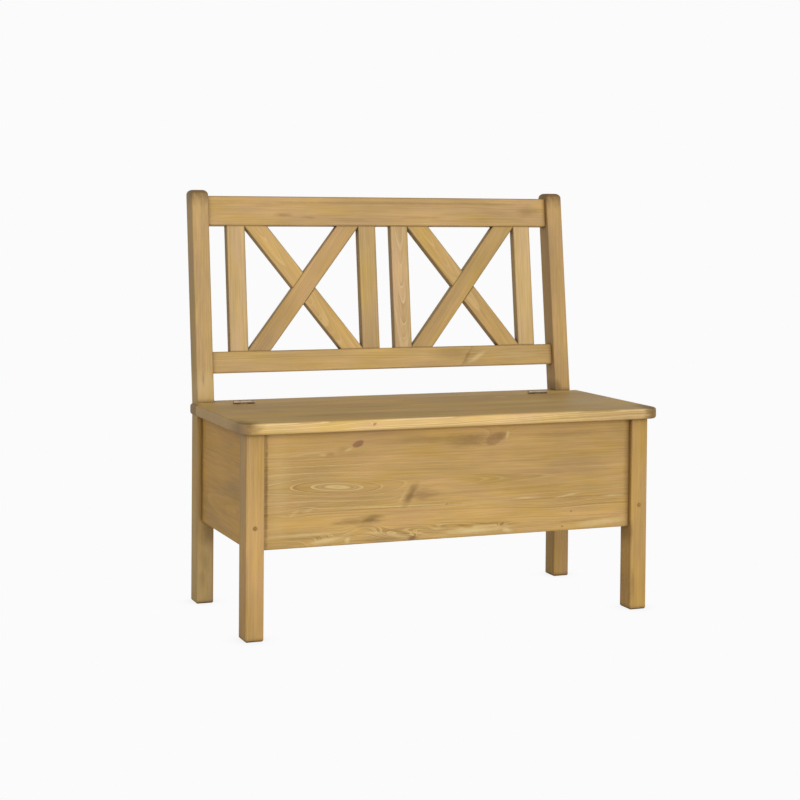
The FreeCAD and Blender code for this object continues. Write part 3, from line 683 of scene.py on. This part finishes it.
def join_boards(tree, place, spot, boards, scarf, seed, chance):
    """The place in the tree, the joint and the chance, after glued boards or a scarf cut the place."""
    if boards:
        width, start, shift = boards
        inputs = {"Place": place, "Width": width, "Start": start, "Shift": shift, "Seed": seed}
        cut = place_group(tree, BOARDS, inputs)
    elif scarf:
        low, high = (Vector((*spot(where).values(), 0.0)) for where in scarf)
        across = Vector((0, 0, 1)).cross(low - high).normalized()
        cut = place_group(tree, SCARF, {"Place": place, "Point": low, "Across": across})
    else:
        return place, 0.0, chance
    return cut["Place"], cut["Joint"], cut["Chance"]


def paint_shade(tree, normal, corner_shade, side, top_shade):
    """Painted shade = the largest of the painted shade in corners, side where the face looks left or
    right, and the upward share where it looks up."""
    sideways, _, upward = split(tree, normal)
    sideways = ramp(tree, calc(tree, "ABSOLUTE", sideways), *SIDEWAYS)
    shade_share = calc(tree, "MAXIMUM", corner_shade, calc(tree, "MULTIPLY", sideways, side))
    upward = ramp(tree, upward, *UPWARD)
    return calc(tree, "MAXIMUM", shade_share, calc(tree, "MULTIPLY", upward, top_shade))


# Painted shade starts on faces that look this far sideways or up.
print("a face gathers wax from", SIDEWAYS[0], "sideways and dust from", UPWARD[0], "upwards")

# %% Build a board's material
BUMP_DEPTH, BUMP_STRENGTH, SATIN = 0.0006, 0.6, 0.36
FIGURE, FIGURE_BETWEEN = 0.4, 0.5
TREE_REACH = 40
DRAW = np.random.default_rng(53)


def pine(name, turn, middle, pith, drift=0.0, year=0.006, wander=0.010, knots=(), swells=(),
         stains_and_shade=(), lights=(), figure=(), strength=FIGURE, boards=None, scarf=None, stain=None,
         tint=(1.0, 1.0, 1.0), shade=None, fold=0.0, side=0.0, top_shade=0.0):
    """The material of one board: place, knots, joints, rings, marks, edges and finish, then a satin
    shader with a bump. A fold of 1 unrolls the front edge onto the shown face, so that a mark can
    lie on that edge alone. Where fields of figure are given, the rings are weaker between them.
    Shade holds the two heights between which the top's painted shade and painted grey reflection come
    in; side and the last argument give the shares of painted shade on faces that look sideways and up."""
    material, tree = new_material(f"pine_{name}")
    given = add(tree, "ShaderNodeTexCoord").outputs
    position, normal = given["Object"], given["Normal"]
    place, flat, spot = lay_out(tree, position, turn, middle, fold)
    push, core = chain_knots(tree, flat, spot, knots, swells)
    chance, seed = float(DRAW.random()), float(DRAW.uniform(0, TREE_REACH))
    in_tree, joint, chance = join_boards(tree, place, spot, boards, scarf, seed, chance)
    shifted = steer(tree, "ADD", in_tree, (seed, 0.0, 0.0))
    inputs = {
        "Place": shifted, "Pith": (0.0, pith[0], pith[1] - drift * seed), "Drift": drift,
        "Year": year, "Wander": wander, "Push": push,
    }
    rings = place_group(tree, RINGS, inputs)
    between = strength * FIGURE_BETWEEN if figure else strength
    shown = chain_marks(tree, flat, spot, figure, between)
    furrow = calc(tree, "MULTIPLY", rings["Furrow"], shown)
    ridge = calc(tree, "MULTIPLY", rings["Ridge"], shown)
    ridge = calc(tree, "MAXIMUM", ridge, chain_marks(tree, flat, spot, lights))
    lines = {"Furrow": furrow, "Ridge": ridge}
    inputs = {"Place": shifted, **lines, "Chance": chance, **(stain or {})}
    stained = place_group(tree, COLOUR, inputs)
    edges = place_group(tree, EDGES, {"Place": place})
    inputs = {
        "Place": place, "Stained": stained["Colour"], "Fibre": stained["Fibre"],
        "Cloud": stained["Cloud"], **lines, "Stain_and_shade": chain_marks(tree, flat, spot, stains_and_shade),
        "Core": core, "Joint": joint, "Arris_band": edges["Arris_band"],
        "Painted_shade": paint_shade(tree, normal, edges["Painted_shade"], side, top_shade),
        "End": place_group(tree, END, {"Normal": normal, "Grain": turn[0][:]})["End"],
        "Tint": (*tint, 1.0),
    }
    if shade:
        inputs["Shade"] = ramp(tree, split(tree, position)[2], *shade)
    finish = place_group(tree, FINISH, inputs)
    inputs = {"Height": finish["Height"], "Distance": BUMP_DEPTH, "Strength": BUMP_STRENGTH}
    bump = add(tree, "ShaderNodeBump", inputs).outputs[0]
    inputs = {
        "Base Color": finish["Colour"], "Roughness": finish["Roughness"], "Normal": bump,
        "Specular IOR Level": SATIN,
    }
    shader = add(tree, "ShaderNodeBsdfPrincipled", inputs)
    add(tree, "ShaderNodeOutputMaterial", {"Surface": shader.outputs[0]})
    return material


def dress(name, material):
    """Gives a node its material. Only the slot changes, never the mesh."""
    for slot in nodes[name].material_slots:
        slot.link = "OBJECT"
        slot.material = material


print("relief of the wood:", round(BUMP_DEPTH * BUMP_STRENGTH / MM, 2), "mm")

# %% [markdown]
# ## The frame's boards
#
# The tables below say for each piece which way its grain runs, which face it shows, how its tree
# lies, and what is special about it. Neighbours differ a little in tint, as boards from different
# planks do: the falling bars of the crosses are more golden than the rising ones. A mark is a row of
# its place on the bench in millimetres, its half length, half width, tilt in radians and strength.

# %% The posts
X, Y, Z = 0, 1, 2
FRONT, TOP, LEFT, RIGHT, BACK = (0, -1, 0), (0, 0, 1), (-1, 0, 0), (1, 0, 0), (0, 1, 0)
STRAIGHT = {"pith": (0.11, -0.05), "strength": 0.25}
FLAMED = {"pith": (0.01, -0.035), "drift": 0.03, "strength": 0.24}

POSTS = {
    "front_leg_left": {**STRAIGHT, "side": 0.1, "tint": (0.97, 0.94, 0.84)},
    "front_leg_right": {
        **STRAIGHT, "tint": (0.91, 0.88, 0.7),
        # The two marks darken the leg's inner side below the chest: painted shade.
        "stains_and_shade": [((446, -214, 60), 50, 7, 0.0, 0.5), ((441, -214, 180), 30, 5, 0.0, 0.6)],
    },
    "rear_post_left": {
        **STRAIGHT, "side": 0.28, "top_shade": 0.6, "tint": (0.96, 0.99, 0.98),
        # Painted light and shade: the long pale mark low on the leg lights its face under the chest,
        # the dark mark at a height of 168 mm is painted shadow under the chest, and the mark at 968 mm
        # is painted shade on the post's top.
        "lights": [((-461, 165, 505), 42, 60, 0.0, 0.4), ((-461, 178, 90), 150, 60, 0.0, 0.28)],
        "stains_and_shade": [
            ((-466, 161, 522), 20, 2.4, 0.0, 0.6), ((-461, 178, 95), 34, 13, 0.1, 0.3),
            ((-452, 154, 168), 40, 30, 0.0, 0.6), ((-466, 154, 60), 30, 9, 0.0, 0.35),
            ((-461, 230, 968), 44, 200, 0.0, 1.0),
        ],
    },
    "rear_post_right": {
        **STRAIGHT, "side": 0.2, "top_shade": 0.6, "tint": (0.88, 0.88, 0.86),
        # The mark at a height of 968 mm is painted shade on the post's top.
        "stains_and_shade": [((446, 155, 478), 18, 14, 0.2, 0.7), ((461, 230, 968), 44, 200, 0.0, 1.0)],
    },
}
print("posts:", ", ".join(POSTS))

# %% The rails, slats and bars of the back
BACK_FRAME = {
    "top_rail": (X, {
        **STRAIGHT, "drift": 0.02, "top_shade": 0.6, "tint": (0.96, 0.97, 1.0),
        "stains_and_shade": [
            ((-255, 223, 903), 24, 6, 0.0, 0.5), ((-190, 223, 897), 20, 4, 0.0, 0.4),
            ((391, 225, 914), 40, 14, 0.0, 0.45), ((90, 225, 898), 80, 4, 0.0, 0.3),
            ((0, 229, 932), 520, 5, 0.0, 0.4),
        ],
    }),
    "bottom_rail": (X, {
        "pith": (-0.1, -0.05), "drift": 0.03, "top_shade": 0.6, "tint": (1.0, 1.04, 1.02),
        "scarf": ((226, 182, 584), (197, 176, 541)),
        "stains_and_shade": [((170, 182, 566), 60, 16, 0.0, 0.25), ((209, 180, 557), 8, 20, -0.5, 0.5)],
        "lights": [((236, 178, 555), 30, 7, 0.5, 0.6), ((330, 178, 560), 90, 10, 0.0, 0.2)],
    }),
    "slat_outer_left": (Z, {**STRAIGHT, "side": 0.6, "tint": (1.09, 1.17, 1.38)}),
    "slat_inner_left": (Z, {**STRAIGHT, "side": 0.6, "tint": (0.96, 1.02, 1.06)}),
    "slat_inner_right": (Z, {
        "pith": (0.002, -0.03), "drift": 0.05, "side": 0.6, "tint": (1.0, 1.07, 1.3),
        "figure": [((43, 199, 680), 130, 24, 0.0, 0.5)],
    }),
    "slat_outer_right": (Z, {**STRAIGHT, "side": 0.6, "tint": (1.15, 1.25, 1.46)}),
    "cross_rising_left": (Z, {**STRAIGHT, "side": 0.6, "tint": (0.96, 0.96, 0.98)}),
    "cross_rising_right": (Z, {**STRAIGHT, "side": 0.6, "tint": (0.96, 0.98, 0.9)}),
    "cross_falling_left": (Z, {**FLAMED, "side": 0.6, "tint": (1.04, 1.06, 1.0)}),
    "cross_falling_right": (Z, {**FLAMED, "side": 0.6, "tint": (1.0, 1.02, 0.95)}),
}
print("pieces of the back:", len(BACK_FRAME))

# %% The boards inside and behind
INSIDE = {"stain": {"Gold": linear("#D2B074"), "Tan": linear("#D4B680"), "Rosy": linear("#CDAA7C")}}
HIDDEN = {
    "back_panel": (X, BACK, {"pith": (0.02, -0.07), "drift": 0.03, "boards": (0.13, 0.0, 0.02)}),
    "chest_floor": (X, TOP, {"pith": (0.02, -0.07), "boards": (0.12, 0.0, 0.02), **INSIDE}),
    "floor_bearer_front": (X, FRONT, {**STRAIGHT, **INSIDE}),
    "floor_bearer_rear": (X, FRONT, {**STRAIGHT, **INSIDE}),
    "rear_board_cleat": (X, FRONT, {**STRAIGHT, **INSIDE}),
    "lid_batten_left": (Y, TOP, {**STRAIGHT, **INSIDE}),
    "lid_batten_right": (Y, TOP, {**STRAIGHT, **INSIDE}),
}
print("hidden boards:", len(HIDDEN))

# %% Dress the frame


def dress_board(name, axis, face, lie):
    """Measures a board's grain and its middle and gives it its wood."""
    low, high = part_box(name)
    turn = grain_turn(grain_direction(name, axis), face)
    dress(name, pine(name, turn, (low + high) / 2, **lie))


for name, lie in POSTS.items():
    dress_board(name, Z, FRONT, lie)
for name, (axis, lie) in BACK_FRAME.items():
    dress_board(name, axis, FRONT, lie)
for name, (axis, face, lie) in HIDDEN.items():
    dress_board(name, axis, face, lie)
print("boards dressed:", len(POSTS) + len(BACK_FRAME) + len(HIDDEN))

# %% [markdown]
# ## The chest
#
# The long front board is what one remembers of this bench. Its lower third is another plank, with a
# pale line along the joint. Its left end has two long loops, and there are knots under the lid and
# along the bottom edge. The knots and swells bend the rings, and the marks say where wax pooled, where
# the figure is strong, and where shade is painted into the corners beside the legs. Noise would give
# such a board too, but not this one. A knot is a row of its place, size, stretch along the grain and
# darkness; a swell has its lean and its height instead.

# %% Knots and swells of the front board
FACE = -227.0
FRONT_JOINT = 0.267
panel_low, panel_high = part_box("front_panel")
panel_middle = (panel_low + panel_high) / 2


def on_front(rows):
    """Rows whose place is given as x and z on the chest's front face."""
    return [((x, FACE, z), *rest) for (x, z), *rest in rows]


FRONT_KNOTS = on_front([
    ((-226, 410), 8.0, 1.7, 1.0),
    ((102, 409), 13.5, 1.9, 0.6),
    ((86, 409), 5.0, 1.6, 0.6),
    ((112, 412), 5.0, 1.6, 0.7),
    ((119, 216), 3.4, 1.5, 0.8),
    ((292, 235), 2.2, 1.1, 0.9),
    ((270, 202), 2.4, 1.2, 0.9),
    ((-16, 268), 2.0, 1.2, 0.7),
    ((-98, 197), 4.0, 2.4, 0.7),
])
FRONT_SWELLS = on_front([
    ((-245, 312), 14.0, 5.7, -0.17, -0.83),
    ((-442, 322), 18.0, 3.0, 0.0, 0.42),
    ((-98, 294), 12.0, 1.6, 0.4, 0.8),
    ((-360, 270), 6.0, 4.0, 0.3, 1.2),
    ((-206, 232), 7.0, 3.4, 0.0, -0.9),
    ((-300, 204), 6.0, 5.0, 0.2, 1.3),
    ((-150, 206), 7.0, 3.0, -0.1, 1.4),
    ((-104, 206), 5.0, 3.0, -0.1, 1.4),
    ((-38, 216), 4.0, 3.0, 0.0, 1.2),
    ((55, 206), 7.0, 7.0, 0.0, 1.3),
    ((240, 256), 7.0, 6.0, 0.0, 0.9),
])
print("front board: knots", len(FRONT_KNOTS), "swells", len(FRONT_SWELLS))

# %% Dark patches of the front board
FRONT_STAINS_AND_SHADE = on_front([
    ((-103, 292), 32, 12, 1.0, 0.85),
    ((-78, 294), 46, 17, 0.0, 0.5),
    ((-198, 244), 34, 12, 0.04, 0.9),
    ((-232, 242), 60, 9, 0.04, 0.55),
    ((-206, 229), 26, 14, 0.0, 0.25),
    ((-76, 413), 80, 9, -0.03, 0.3),
    ((38, 408), 66, 18, 0.0, 0.6),
    ((100, 412), 40, 14, 0.0, 0.3),
    ((287, 411), 90, 9, 0.0, 0.3),
    ((-262, 399), 20, 8, 0.2, 0.25),
    ((-288, 391), 12, 6, 0.0, 0.35),
    # Painted shade in the corner beside the left leg.
    ((-433, 317), 4.5, 160, 0.0, 0.85),
    ((180, 296), 120, 12, 0.0, 0.2),
    ((53, 219), 110, 4, 0.0, 0.5),
    ((-335, 212), 110, 3.5, 0.0, 0.4),
    ((-98, 197), 16, 6, 0.0, 0.6),
    ((-170, 199), 60, 4, 0.0, 0.4),
    ((330, 214), 110, 4, 0.05, 0.3),
    # Painted shade at the right end, beside the right leg.
    ((436, 320), 12, 150, 0.0, 0.35),
    ((150, 372), 130, 20, 0.0, 0.15),
])
print("front board: dark patches", len(FRONT_STAINS_AND_SHADE))

# %% Pale streaks and strong figure of the front board
FRONT_LIGHTS = on_front([
    ((-248, 399), 13, 4.0, 0.3, 0.6),
    ((-350, 393), 60, 2.6, 0.1, 0.32),
    ((-306, 390), 10, 3.6, 0.0, 0.4),
    ((-121, 291), 22, 4.0, 1.0, 0.4),
    ((-371, 267), 14, 5.0, 0.5, 0.42),
    ((-335, 273), 16, 3.6, 0.4, 0.36),
    ((-110, 269), 200, 2.4, -0.02, 0.8),
    ((70, 267), 100, 2.6, 0.0, 0.7),
    ((176, 272), 36, 2.6, 0.0, 0.7),
    ((281, 272), 40, 2.8, 0.14, 0.7),
    ((402, 266), 36, 2.6, 0.0, 0.7),
    ((131, 416), 13, 4.0, 1.3, 0.8),
    ((-340, 219), 130, 4.0, 0.01, 0.6),
    ((-296, 205), 50, 6.0, 0.13, 0.95),
    ((-249, 203), 9, 7.0, 1.1, 0.9),
    ((-185, 214), 40, 4.0, -0.1, 0.7),
    ((-138, 206), 34, 5.0, -0.2, 0.7),
    ((-88, 209), 44, 3.6, -0.2, 0.7),
    ((-38, 216), 20, 4.0, 0.0, 0.6),
    ((53, 206), 92, 8.5, 0.01, 1.0),
    ((131, 202), 16, 6.0, -0.2, 0.95),
    ((367, 206), 80, 9.0, 0.06, 0.7),
    ((-405, 330), 26, 170, 0.0, 0.2),
])
FRONT_FIGURE = on_front([
    ((-330, 320), 230, 90, -0.1, 0.8),
    ((-110, 206), 420, 30, 0.0, 0.8),
    ((290, 245), 220, 46, 0.0, 0.7),
])
print("front board: pale streaks", len(FRONT_LIGHTS), "fields of figure", len(FRONT_FIGURE))

# %% Dress the front board
FRONT_LIE = {
    "pith": (-0.042, -0.06), "drift": 0.02, "year": 0.0062, "wander": 0.006,
    "boards": (0.19, FRONT_JOINT - panel_middle.z, 0.032), "tint": (0.92, 0.91, 0.8),
}
found = {
    "knots": FRONT_KNOTS, "swells": FRONT_SWELLS, "stains_and_shade": FRONT_STAINS_AND_SHADE,
    "lights": FRONT_LIGHTS, "figure": FRONT_FIGURE,
}
turn = grain_turn(Vector((1, 0, 0)), FRONT)
dress("front_panel", pine("front_panel", turn, panel_middle, **FRONT_LIE, **found))
print("front board dressed, rows in all:", sum(len(rows) for rows in found.values()))

# %% Dress the chest's ends
END_FACE = 449
END_LIE = {
    "pith": (0.02, -0.06), "drift": 0.05, "boards": (0.19, -0.05, 0.03),
    "strength": 0.16, "tint": (0.96, 0.87, 0.55),
}
for name, face, x in (("end_panel_left", LEFT, -END_FACE), ("end_panel_right", RIGHT, END_FACE)):
    # Painted shadow: dark bands beside the legs at both ends of each chest end, and under the lid's
    # overhang along its top.
    shaded_grooves = [
        ((x, -180, 320), 26, 200, 0.0, 0.5), ((x, 165, 320), 26, 200, 0.0, 0.5),
        ((x, 0, 438), 260, 16, 0.0, 0.4),
    ]
    dress_board(name, Y, face, {**END_LIE, "stains_and_shade": shaded_grooves})
print("chest's ends dressed, waxed in their grooves:", len(shaded_grooves), "marks each")

# %% [markdown]
# ## The seat
#
# The top is painted darker and greyer than the front edge: painted shade, because a face that looks up
# gets less of the light from in front, and a painted grey reflection of the dim room. A mask on the
# height does that, because the top is the only part so high up.

# %% Dress the seat
SEAT = {
    "lid_panel": {
        "boards": (0.125, 0.06, 0.03), "knots": [((-202, -265, 457), 3.5, 1.4, 0.9)], "fold": 1.0,
        # The two strongest marks darken the lid's rounded front corners; at the left corner, which
        # turns away from the light, this is painted shade.
        "stains_and_shade": [
            ((-367, -55, 468), 34, 12, 0.0, 0.5), ((-150, -40, 468), 130, 14, 0.0, 0.35),
            ((200, -100, 468), 150, 16, 0.0, 0.35), ((483, -262, 458), 34, 90, 0.0, 1.2),
            ((-493, -262, 458), 38, 90, 0.0, 1.1), ((360, -265, 457), 240, 20, 0.0, 0.4),
            ((60, -180, 468), 200, 9, 0.0, 0.35), ((350, 20, 468), 120, 12, 0.0, 0.3),
            ((-280, -170, 468), 90, 10, 0.0, 0.3),
        ],
        "lights": [
            ((380, -90, 468), 180, 90, 0.0, 0.1), ((-60, -120, 468), 160, 12, 0.0, 0.3),
            ((300, -50, 468), 160, 14, 0.0, 0.3), ((-300, 40, 468), 140, 12, 0.0, 0.3),
        ],
    },
    "seat_rear_board": {
        "boards": (0.3, 0.1, 0.0), "stains_and_shade": [((-504, 130, 468), 22, 90, 0.0, 1.2)],
    },
}
seat_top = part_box("lid_panel")[1].z
# The strong tint paints light onto the lid's front edge and ends; on the top the shade mask takes it
# back down.
SEAT_LIE = {
    "pith": (0.02, -0.09), "drift": 0.02, "year": 0.006, "wander": 0.008,
    "tint": (1.3, 1.38, 1.42), "shade": (seat_top - 3.0 * MM, seat_top - 0.5 * MM),
}
turn = grain_turn(Vector((1, 0, 0)), TOP)
for name, special in SEAT.items():
    low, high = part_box(name)
    dress(name, pine(name, turn, (low + high) / 2, **SEAT_LIE, **special))
print("seat dressed, its top at", round(seat_top / MM), "mm")

# %% [markdown]
# ## Metal and plugs
#
# The hinges are thin nickelled steel, dull from years of dusters. Their brightness comes from what
# they mirror, so the shader only needs a grey-pink metal whose roughness is uneven.

# %% Metal materials
NICKEL, STEEL, RUBBED_DARK = "#BFB09E", "#B8B4AE", "#6E6058"
BLOTCH_AMOUNT, BLOTCH_EDGE, DARK_AMOUNT = 0.3, (0.4, 0.75), 0.5
SCRATCH_DEPTH, SCRATCH_STRENGTH = 0.00004, 0.5


def metal(name, colour, roughness):
    """Metal with blotches that are darker and duller, and fine rubbed scratches along x."""
    material, tree = new_material(name)
    place = add(tree, "ShaderNodeTexCoord").outputs["Object"]
    blotch = noise(tree, place, (90.0, 90.0, 90.0), detail=3.0)
    scratch = noise(tree, place, (60.0, 2400.0, 2400.0))
    dull = calc(tree, "MULTIPLY_ADD", blotch, BLOTCH_AMOUNT, roughness - BLOTCH_AMOUNT / 2)
    dark = mix(tree, DARK_AMOUNT, linear(colour), linear(RUBBED_DARK))
    tint = mix(tree, ramp(tree, blotch, *BLOTCH_EDGE), linear(colour), dark)
    inputs = {"Height": scratch, "Distance": SCRATCH_DEPTH, "Strength": SCRATCH_STRENGTH}
    bump = add(tree, "ShaderNodeBump", inputs).outputs[0]
    inputs = {"Base Color": tint, "Roughness": dull, "Normal": bump, "Metallic": 1.0}
    shader = add(tree, "ShaderNodeBsdfPrincipled", inputs)
    add(tree, "ShaderNodeOutputMaterial", {"Surface": shader.outputs[0]})
    return material


nickel = metal("dull_nickel", NICKEL, 0.55)
steel = metal("plain_steel", STEEL, 0.35)
for name in nodes:
    if name.startswith("hinge_leaf"):
        dress(name, nickel)
    elif name.startswith("hinge_pin"):
        dress(name, steel)
low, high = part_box("leg_plugs")
turn = grain_turn(Vector(FRONT), TOP)
PLUG_LIE = {"pith": (0.03, 0.0), "year": 0.002, "tint": (0.98, 0.82, 0.48)}
dress("leg_plugs", pine("leg_plugs", turn, (low + high) / 2, **PLUG_LIE))
print("metal and plugs dressed")

# %% [markdown]
# ## Hinge screws
#
# Each hinge leaf is held by two countersunk screws. They are worked out as a surface of
# revolution on a polar grid: one direction runs from the middle of the head over its rim and down
# the shank, the other goes round. The cross in the head is cut by lowering points, and the thread is
# a ridge whose place depends on the angle and on the depth together, which is what makes it a helix.
# A screw from boxes and cylinders would show flat sides where the light catches the rim.

# %% Make the hinge screws, in millimetres
HEAD_RADIUS, HEAD_DEPTH, HEAD_DOME = 2.95, 1.45, 0.15
SHANK_RADIUS, SHANK_LENGTH, TIP_LENGTH = 1.2, 15.0, 3.0
PITCH, THREAD_HEIGHT = 1.3, 0.35
CROSS_HALF_WIDTH, CROSS_REACH, CROSS_DEPTH = 0.36, 1.75, 0.9
CROSS_SOFT, CROSS_TAPER, THREAD_STARTS, TIP_SHARP = 0.12, 0.5, 1.5, 0.92
ROUND_STEPS = 48
HEAD_RINGS, RINGS_PER_TURN = 20, 8


def smooth_step(low, high, value):
    """3 t^2 - 2 t^3 of the share of the way from low to high."""
    share = np.clip((value - low) / (high - low), 0.0, 1.0)
    return share * share * (3.0 - 2.0 * share)


def screw_head(angle):
    """Points of the head's top: z = dome (1 - r^2 / R^2) - depth * cross, where the cross is the
    larger of two bars, each a step of its half width minus the distance to its middle line."""
    radius = np.linspace(0.0, HEAD_RADIUS, HEAD_RINGS)[:, None] * np.ones_like(angle)
    x, y = radius * np.cos(angle), radius * np.sin(angle)
    bars = [smooth_step(-CROSS_SOFT, CROSS_SOFT, CROSS_HALF_WIDTH - abs(way)) for way in (x, y)]
    cross = np.maximum(*bars) * smooth_step(0.0, CROSS_TAPER, CROSS_REACH - radius)
    height = HEAD_DOME * (1.0 - (radius / HEAD_RADIUS) ** 2) - CROSS_DEPTH * cross
    return np.stack([x, y, height], -1)


def screw_shank(angle):
    """Points from the head's rim down: a cone to the shank, then radius = core + thread * wave,
    with wave = max(0, cos(angle - 2 pi depth / pitch)) cubed, tapered to the tip."""
    turns = (SHANK_LENGTH - HEAD_DEPTH) / PITCH
    depth = np.linspace(HEAD_DEPTH, SHANK_LENGTH, int(turns * RINGS_PER_TURN))[:, None]
    depth = depth * np.ones_like(angle)
    wave = np.maximum(0.0, np.cos(angle - 2 * np.pi * depth / PITCH)) ** 3
    taper = 1.0 - TIP_SHARP * smooth_step(SHANK_LENGTH - TIP_LENGTH, SHANK_LENGTH, depth)
    thread = THREAD_HEIGHT * wave * smooth_step(HEAD_DEPTH, HEAD_DEPTH + THREAD_STARTS, depth)
    radius = (SHANK_RADIUS + thread) * taper
    return np.stack([radius * np.cos(angle), radius * np.sin(angle), -depth], -1)


def screw_points():
    """All the rings of one screw in millimetres, its head at the origin and its shank along -z."""
    angle = np.linspace(0.0, 2 * np.pi, ROUND_STEPS, endpoint=False)[None, :]
    return np.concatenate([screw_head(angle), screw_shank(angle)])


def skin(rings, count):
    """Four-sided faces between neighbouring rings, each closed round its own circle."""
    ring, step = np.meshgrid(np.arange(rings - 1), np.arange(count), indexing="ij")
    follow = (step + 1) % count
    here, below = ring * count, (ring + 1) * count
    return np.stack([here + step, below + step, below + follow, here + follow], -1).reshape(-1, 4)


print("rings and points round a screw:", screw_points().shape[:2])

# %% Seat the screws in the hinge leaves
SCREW_SPACING, LEAF_MIDDLE, LEAF_GAP = 30.0, 9.5, 0.25
screw_heads = {
    "frame": ("hinge_leaf_fixed_left", "hinge_leaf_fixed_right", -1.0),
    "lid": ("hinge_leaf_lid_left", "hinge_leaf_lid_right", 1.0),
}


def screw_piece(body, left, right, facing):
    """The four screws of one side as one mesh: heads flush with the leaves' faces, each turned a
    little differently."""
    shape = screw_points()
    rings, count = shape.shape[:2]
    shape = shape.reshape(-1, 3)
    points, faces = [], []
    for leaf in (left, right):
        low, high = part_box(leaf)
        middle = (low + high) / 2
        for side in (-0.5, 0.5):
            turn = DRAW.uniform(0, math.pi)
            x = shape[:, 0] * math.cos(turn) - shape[:, 1] * math.sin(turn)
            z = shape[:, 0] * math.sin(turn) + shape[:, 1] * math.cos(turn)
            place = np.array([
                middle.x / MM + side * SCREW_SPACING, middle.y / MM - facing * LEAF_GAP,
                low.z / MM + LEAF_MIDDLE,
            ])
            faces.append(skin(rings, count) + len(points) * len(shape))
            points.append((np.stack([x * facing, facing * shape[:, 2], z], -1) + place) * MM)
    mesh = bpy.data.meshes.new(f"hinge_screws_{body}")
    mesh.from_pydata(np.concatenate(points).tolist(), [], np.concatenate(faces).tolist())
    mesh.polygons.foreach_set("use_smooth", [True] * len(mesh.polygons))
    mesh.materials.append(steel)
    made = bpy.data.objects.new(f"hinge_screws_{body}", mesh)
    bpy.context.scene.collection.objects.link(made)
    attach(made, body)
    return made


for body, (left, right, facing) in screw_heads.items():
    made = screw_piece(body, left, right, facing)
    print(made.name, "faces", len(made.data.polygons))

# %% [markdown]
# ## Floor, backdrop and light
#
# The photograph is a shop picture: a cut-out on white, lit by one very large soft source in front,
# with a dimmer room behind and above. So faces that look forward are bright, and those that look
# sideways or up get about half as much. The same light could come from many lamps, but a sky
# whose brightness depends on the direction needs only one formula, and one lamp gives the little
# shadows. The camera sees white paper instead of that room.

# %% Light the bench
scene = bpy.context.scene
scene.view_settings.view_transform = "Standard"
PAPER, FLOOR_GREY = linear("#FBFBFB"), linear("#E4E2DE")
LIGHT_FROM = Vector((0.05, -0.97, 0.12)).normalized()
DIM, FRONT_GLOW, BACK_GLOW = 0.47, 0.62, 0.12
WARM = (1.0, 0.985, 0.95, 1.0)
KEY_PLACE, KEY_AIM, KEY_SIZE, KEY_WATTS = (-0.1, -4.5, 0.9), (0.0, 0.0, 0.5), 2.2, 50.0

world = bpy.data.worlds.new("studio")
world.use_nodes = True
scene.world = world
tree = world.node_tree
tree.nodes.clear()
way = add(tree, "ShaderNodeTexCoord").outputs["Generated"]
facing = steer(tree, "DOT_PRODUCT", way, LIGHT_FROM)
averted = calc(tree, "MULTIPLY", facing, -1.0)
glow = calc(tree, "MULTIPLY_ADD", calc(tree, "MAXIMUM", facing, 0.0), FRONT_GLOW, DIM)
glow = calc(tree, "MULTIPLY_ADD", calc(tree, "MAXIMUM", averted, 0.0), BACK_GLOW, glow)
room = add(tree, "ShaderNodeBackground", {"Color": WARM, "Strength": glow}).outputs[0]
paper = add(tree, "ShaderNodeBackground", {"Color": PAPER, "Strength": 1.0}).outputs[0]
seen = add(tree, "ShaderNodeLightPath").outputs["Is Camera Ray"]
both = add(tree, "ShaderNodeMixShader", {0: seen, 1: room, 2: paper}).outputs[0]
add(tree, "ShaderNodeOutputWorld", {"Surface": both})


def soft_box(name, place, aim, size, watts):
    """A square soft box that shines at a point."""
    lamp = bpy.data.lights.new(name, "AREA")
    lamp.shape = "SQUARE"
    lamp.size = size
    lamp.energy = watts
    made = bpy.data.objects.new(name, lamp)
    made.location = place
    made.rotation_euler = (Vector(aim) - Vector(place)).to_track_quat("-Z", "Y").to_euler()
    scene.collection.objects.link(made)
    return made


key_box = soft_box("key_box", KEY_PLACE, KEY_AIM, KEY_SIZE, KEY_WATTS)
print("light is in:", world.name, "and", key_box.name)

# %% The floor
FLOOR_REACH = 14.0
CONTACT_REACH, CONTACT_DEPTH, CONTACT_CLOSED = 0.05, 0.10, 0.3


def sweep():
    """A square of paper under the feet. The camera sees it as white as the backdrop, with a breath of
    shade at the feet; everything else sees a matt grey floor that throws some light back up."""
    far = FLOOR_REACH
    rim = [(-far, -far, 0), (far, -far, 0), (far, far, 0), (-far, far, 0)]
    mesh = bpy.data.meshes.new("floor")
    mesh.from_pydata(rim, [], [(0, 1, 2, 3)])
    made = bpy.data.objects.new("floor", mesh)
    scene.collection.objects.link(made)
    material, tree = new_material("paper")
    nearby = {"Distance": CONTACT_REACH}
    open_air = add(tree, "ShaderNodeAmbientOcclusion", nearby, samples=8).outputs["AO"]
    shade = ramp(tree, open_air, CONTACT_CLOSED, 1.0, 1.0 - CONTACT_DEPTH, 1.0)
    white = add(tree, "ShaderNodeEmission", {"Color": PAPER, "Strength": shade}).outputs[0]
    matt = add(tree, "ShaderNodeBsdfDiffuse", {"Color": FLOOR_GREY}).outputs[0]
    seen = add(tree, "ShaderNodeLightPath").outputs["Is Camera Ray"]
    both = add(tree, "ShaderNodeMixShader", {0: seen, 1: matt, 2: white}).outputs[0]
    add(tree, "ShaderNodeOutputMaterial", {"Surface": both})
    mesh.materials.append(material)
    return made


sweep()
print("floor is in")
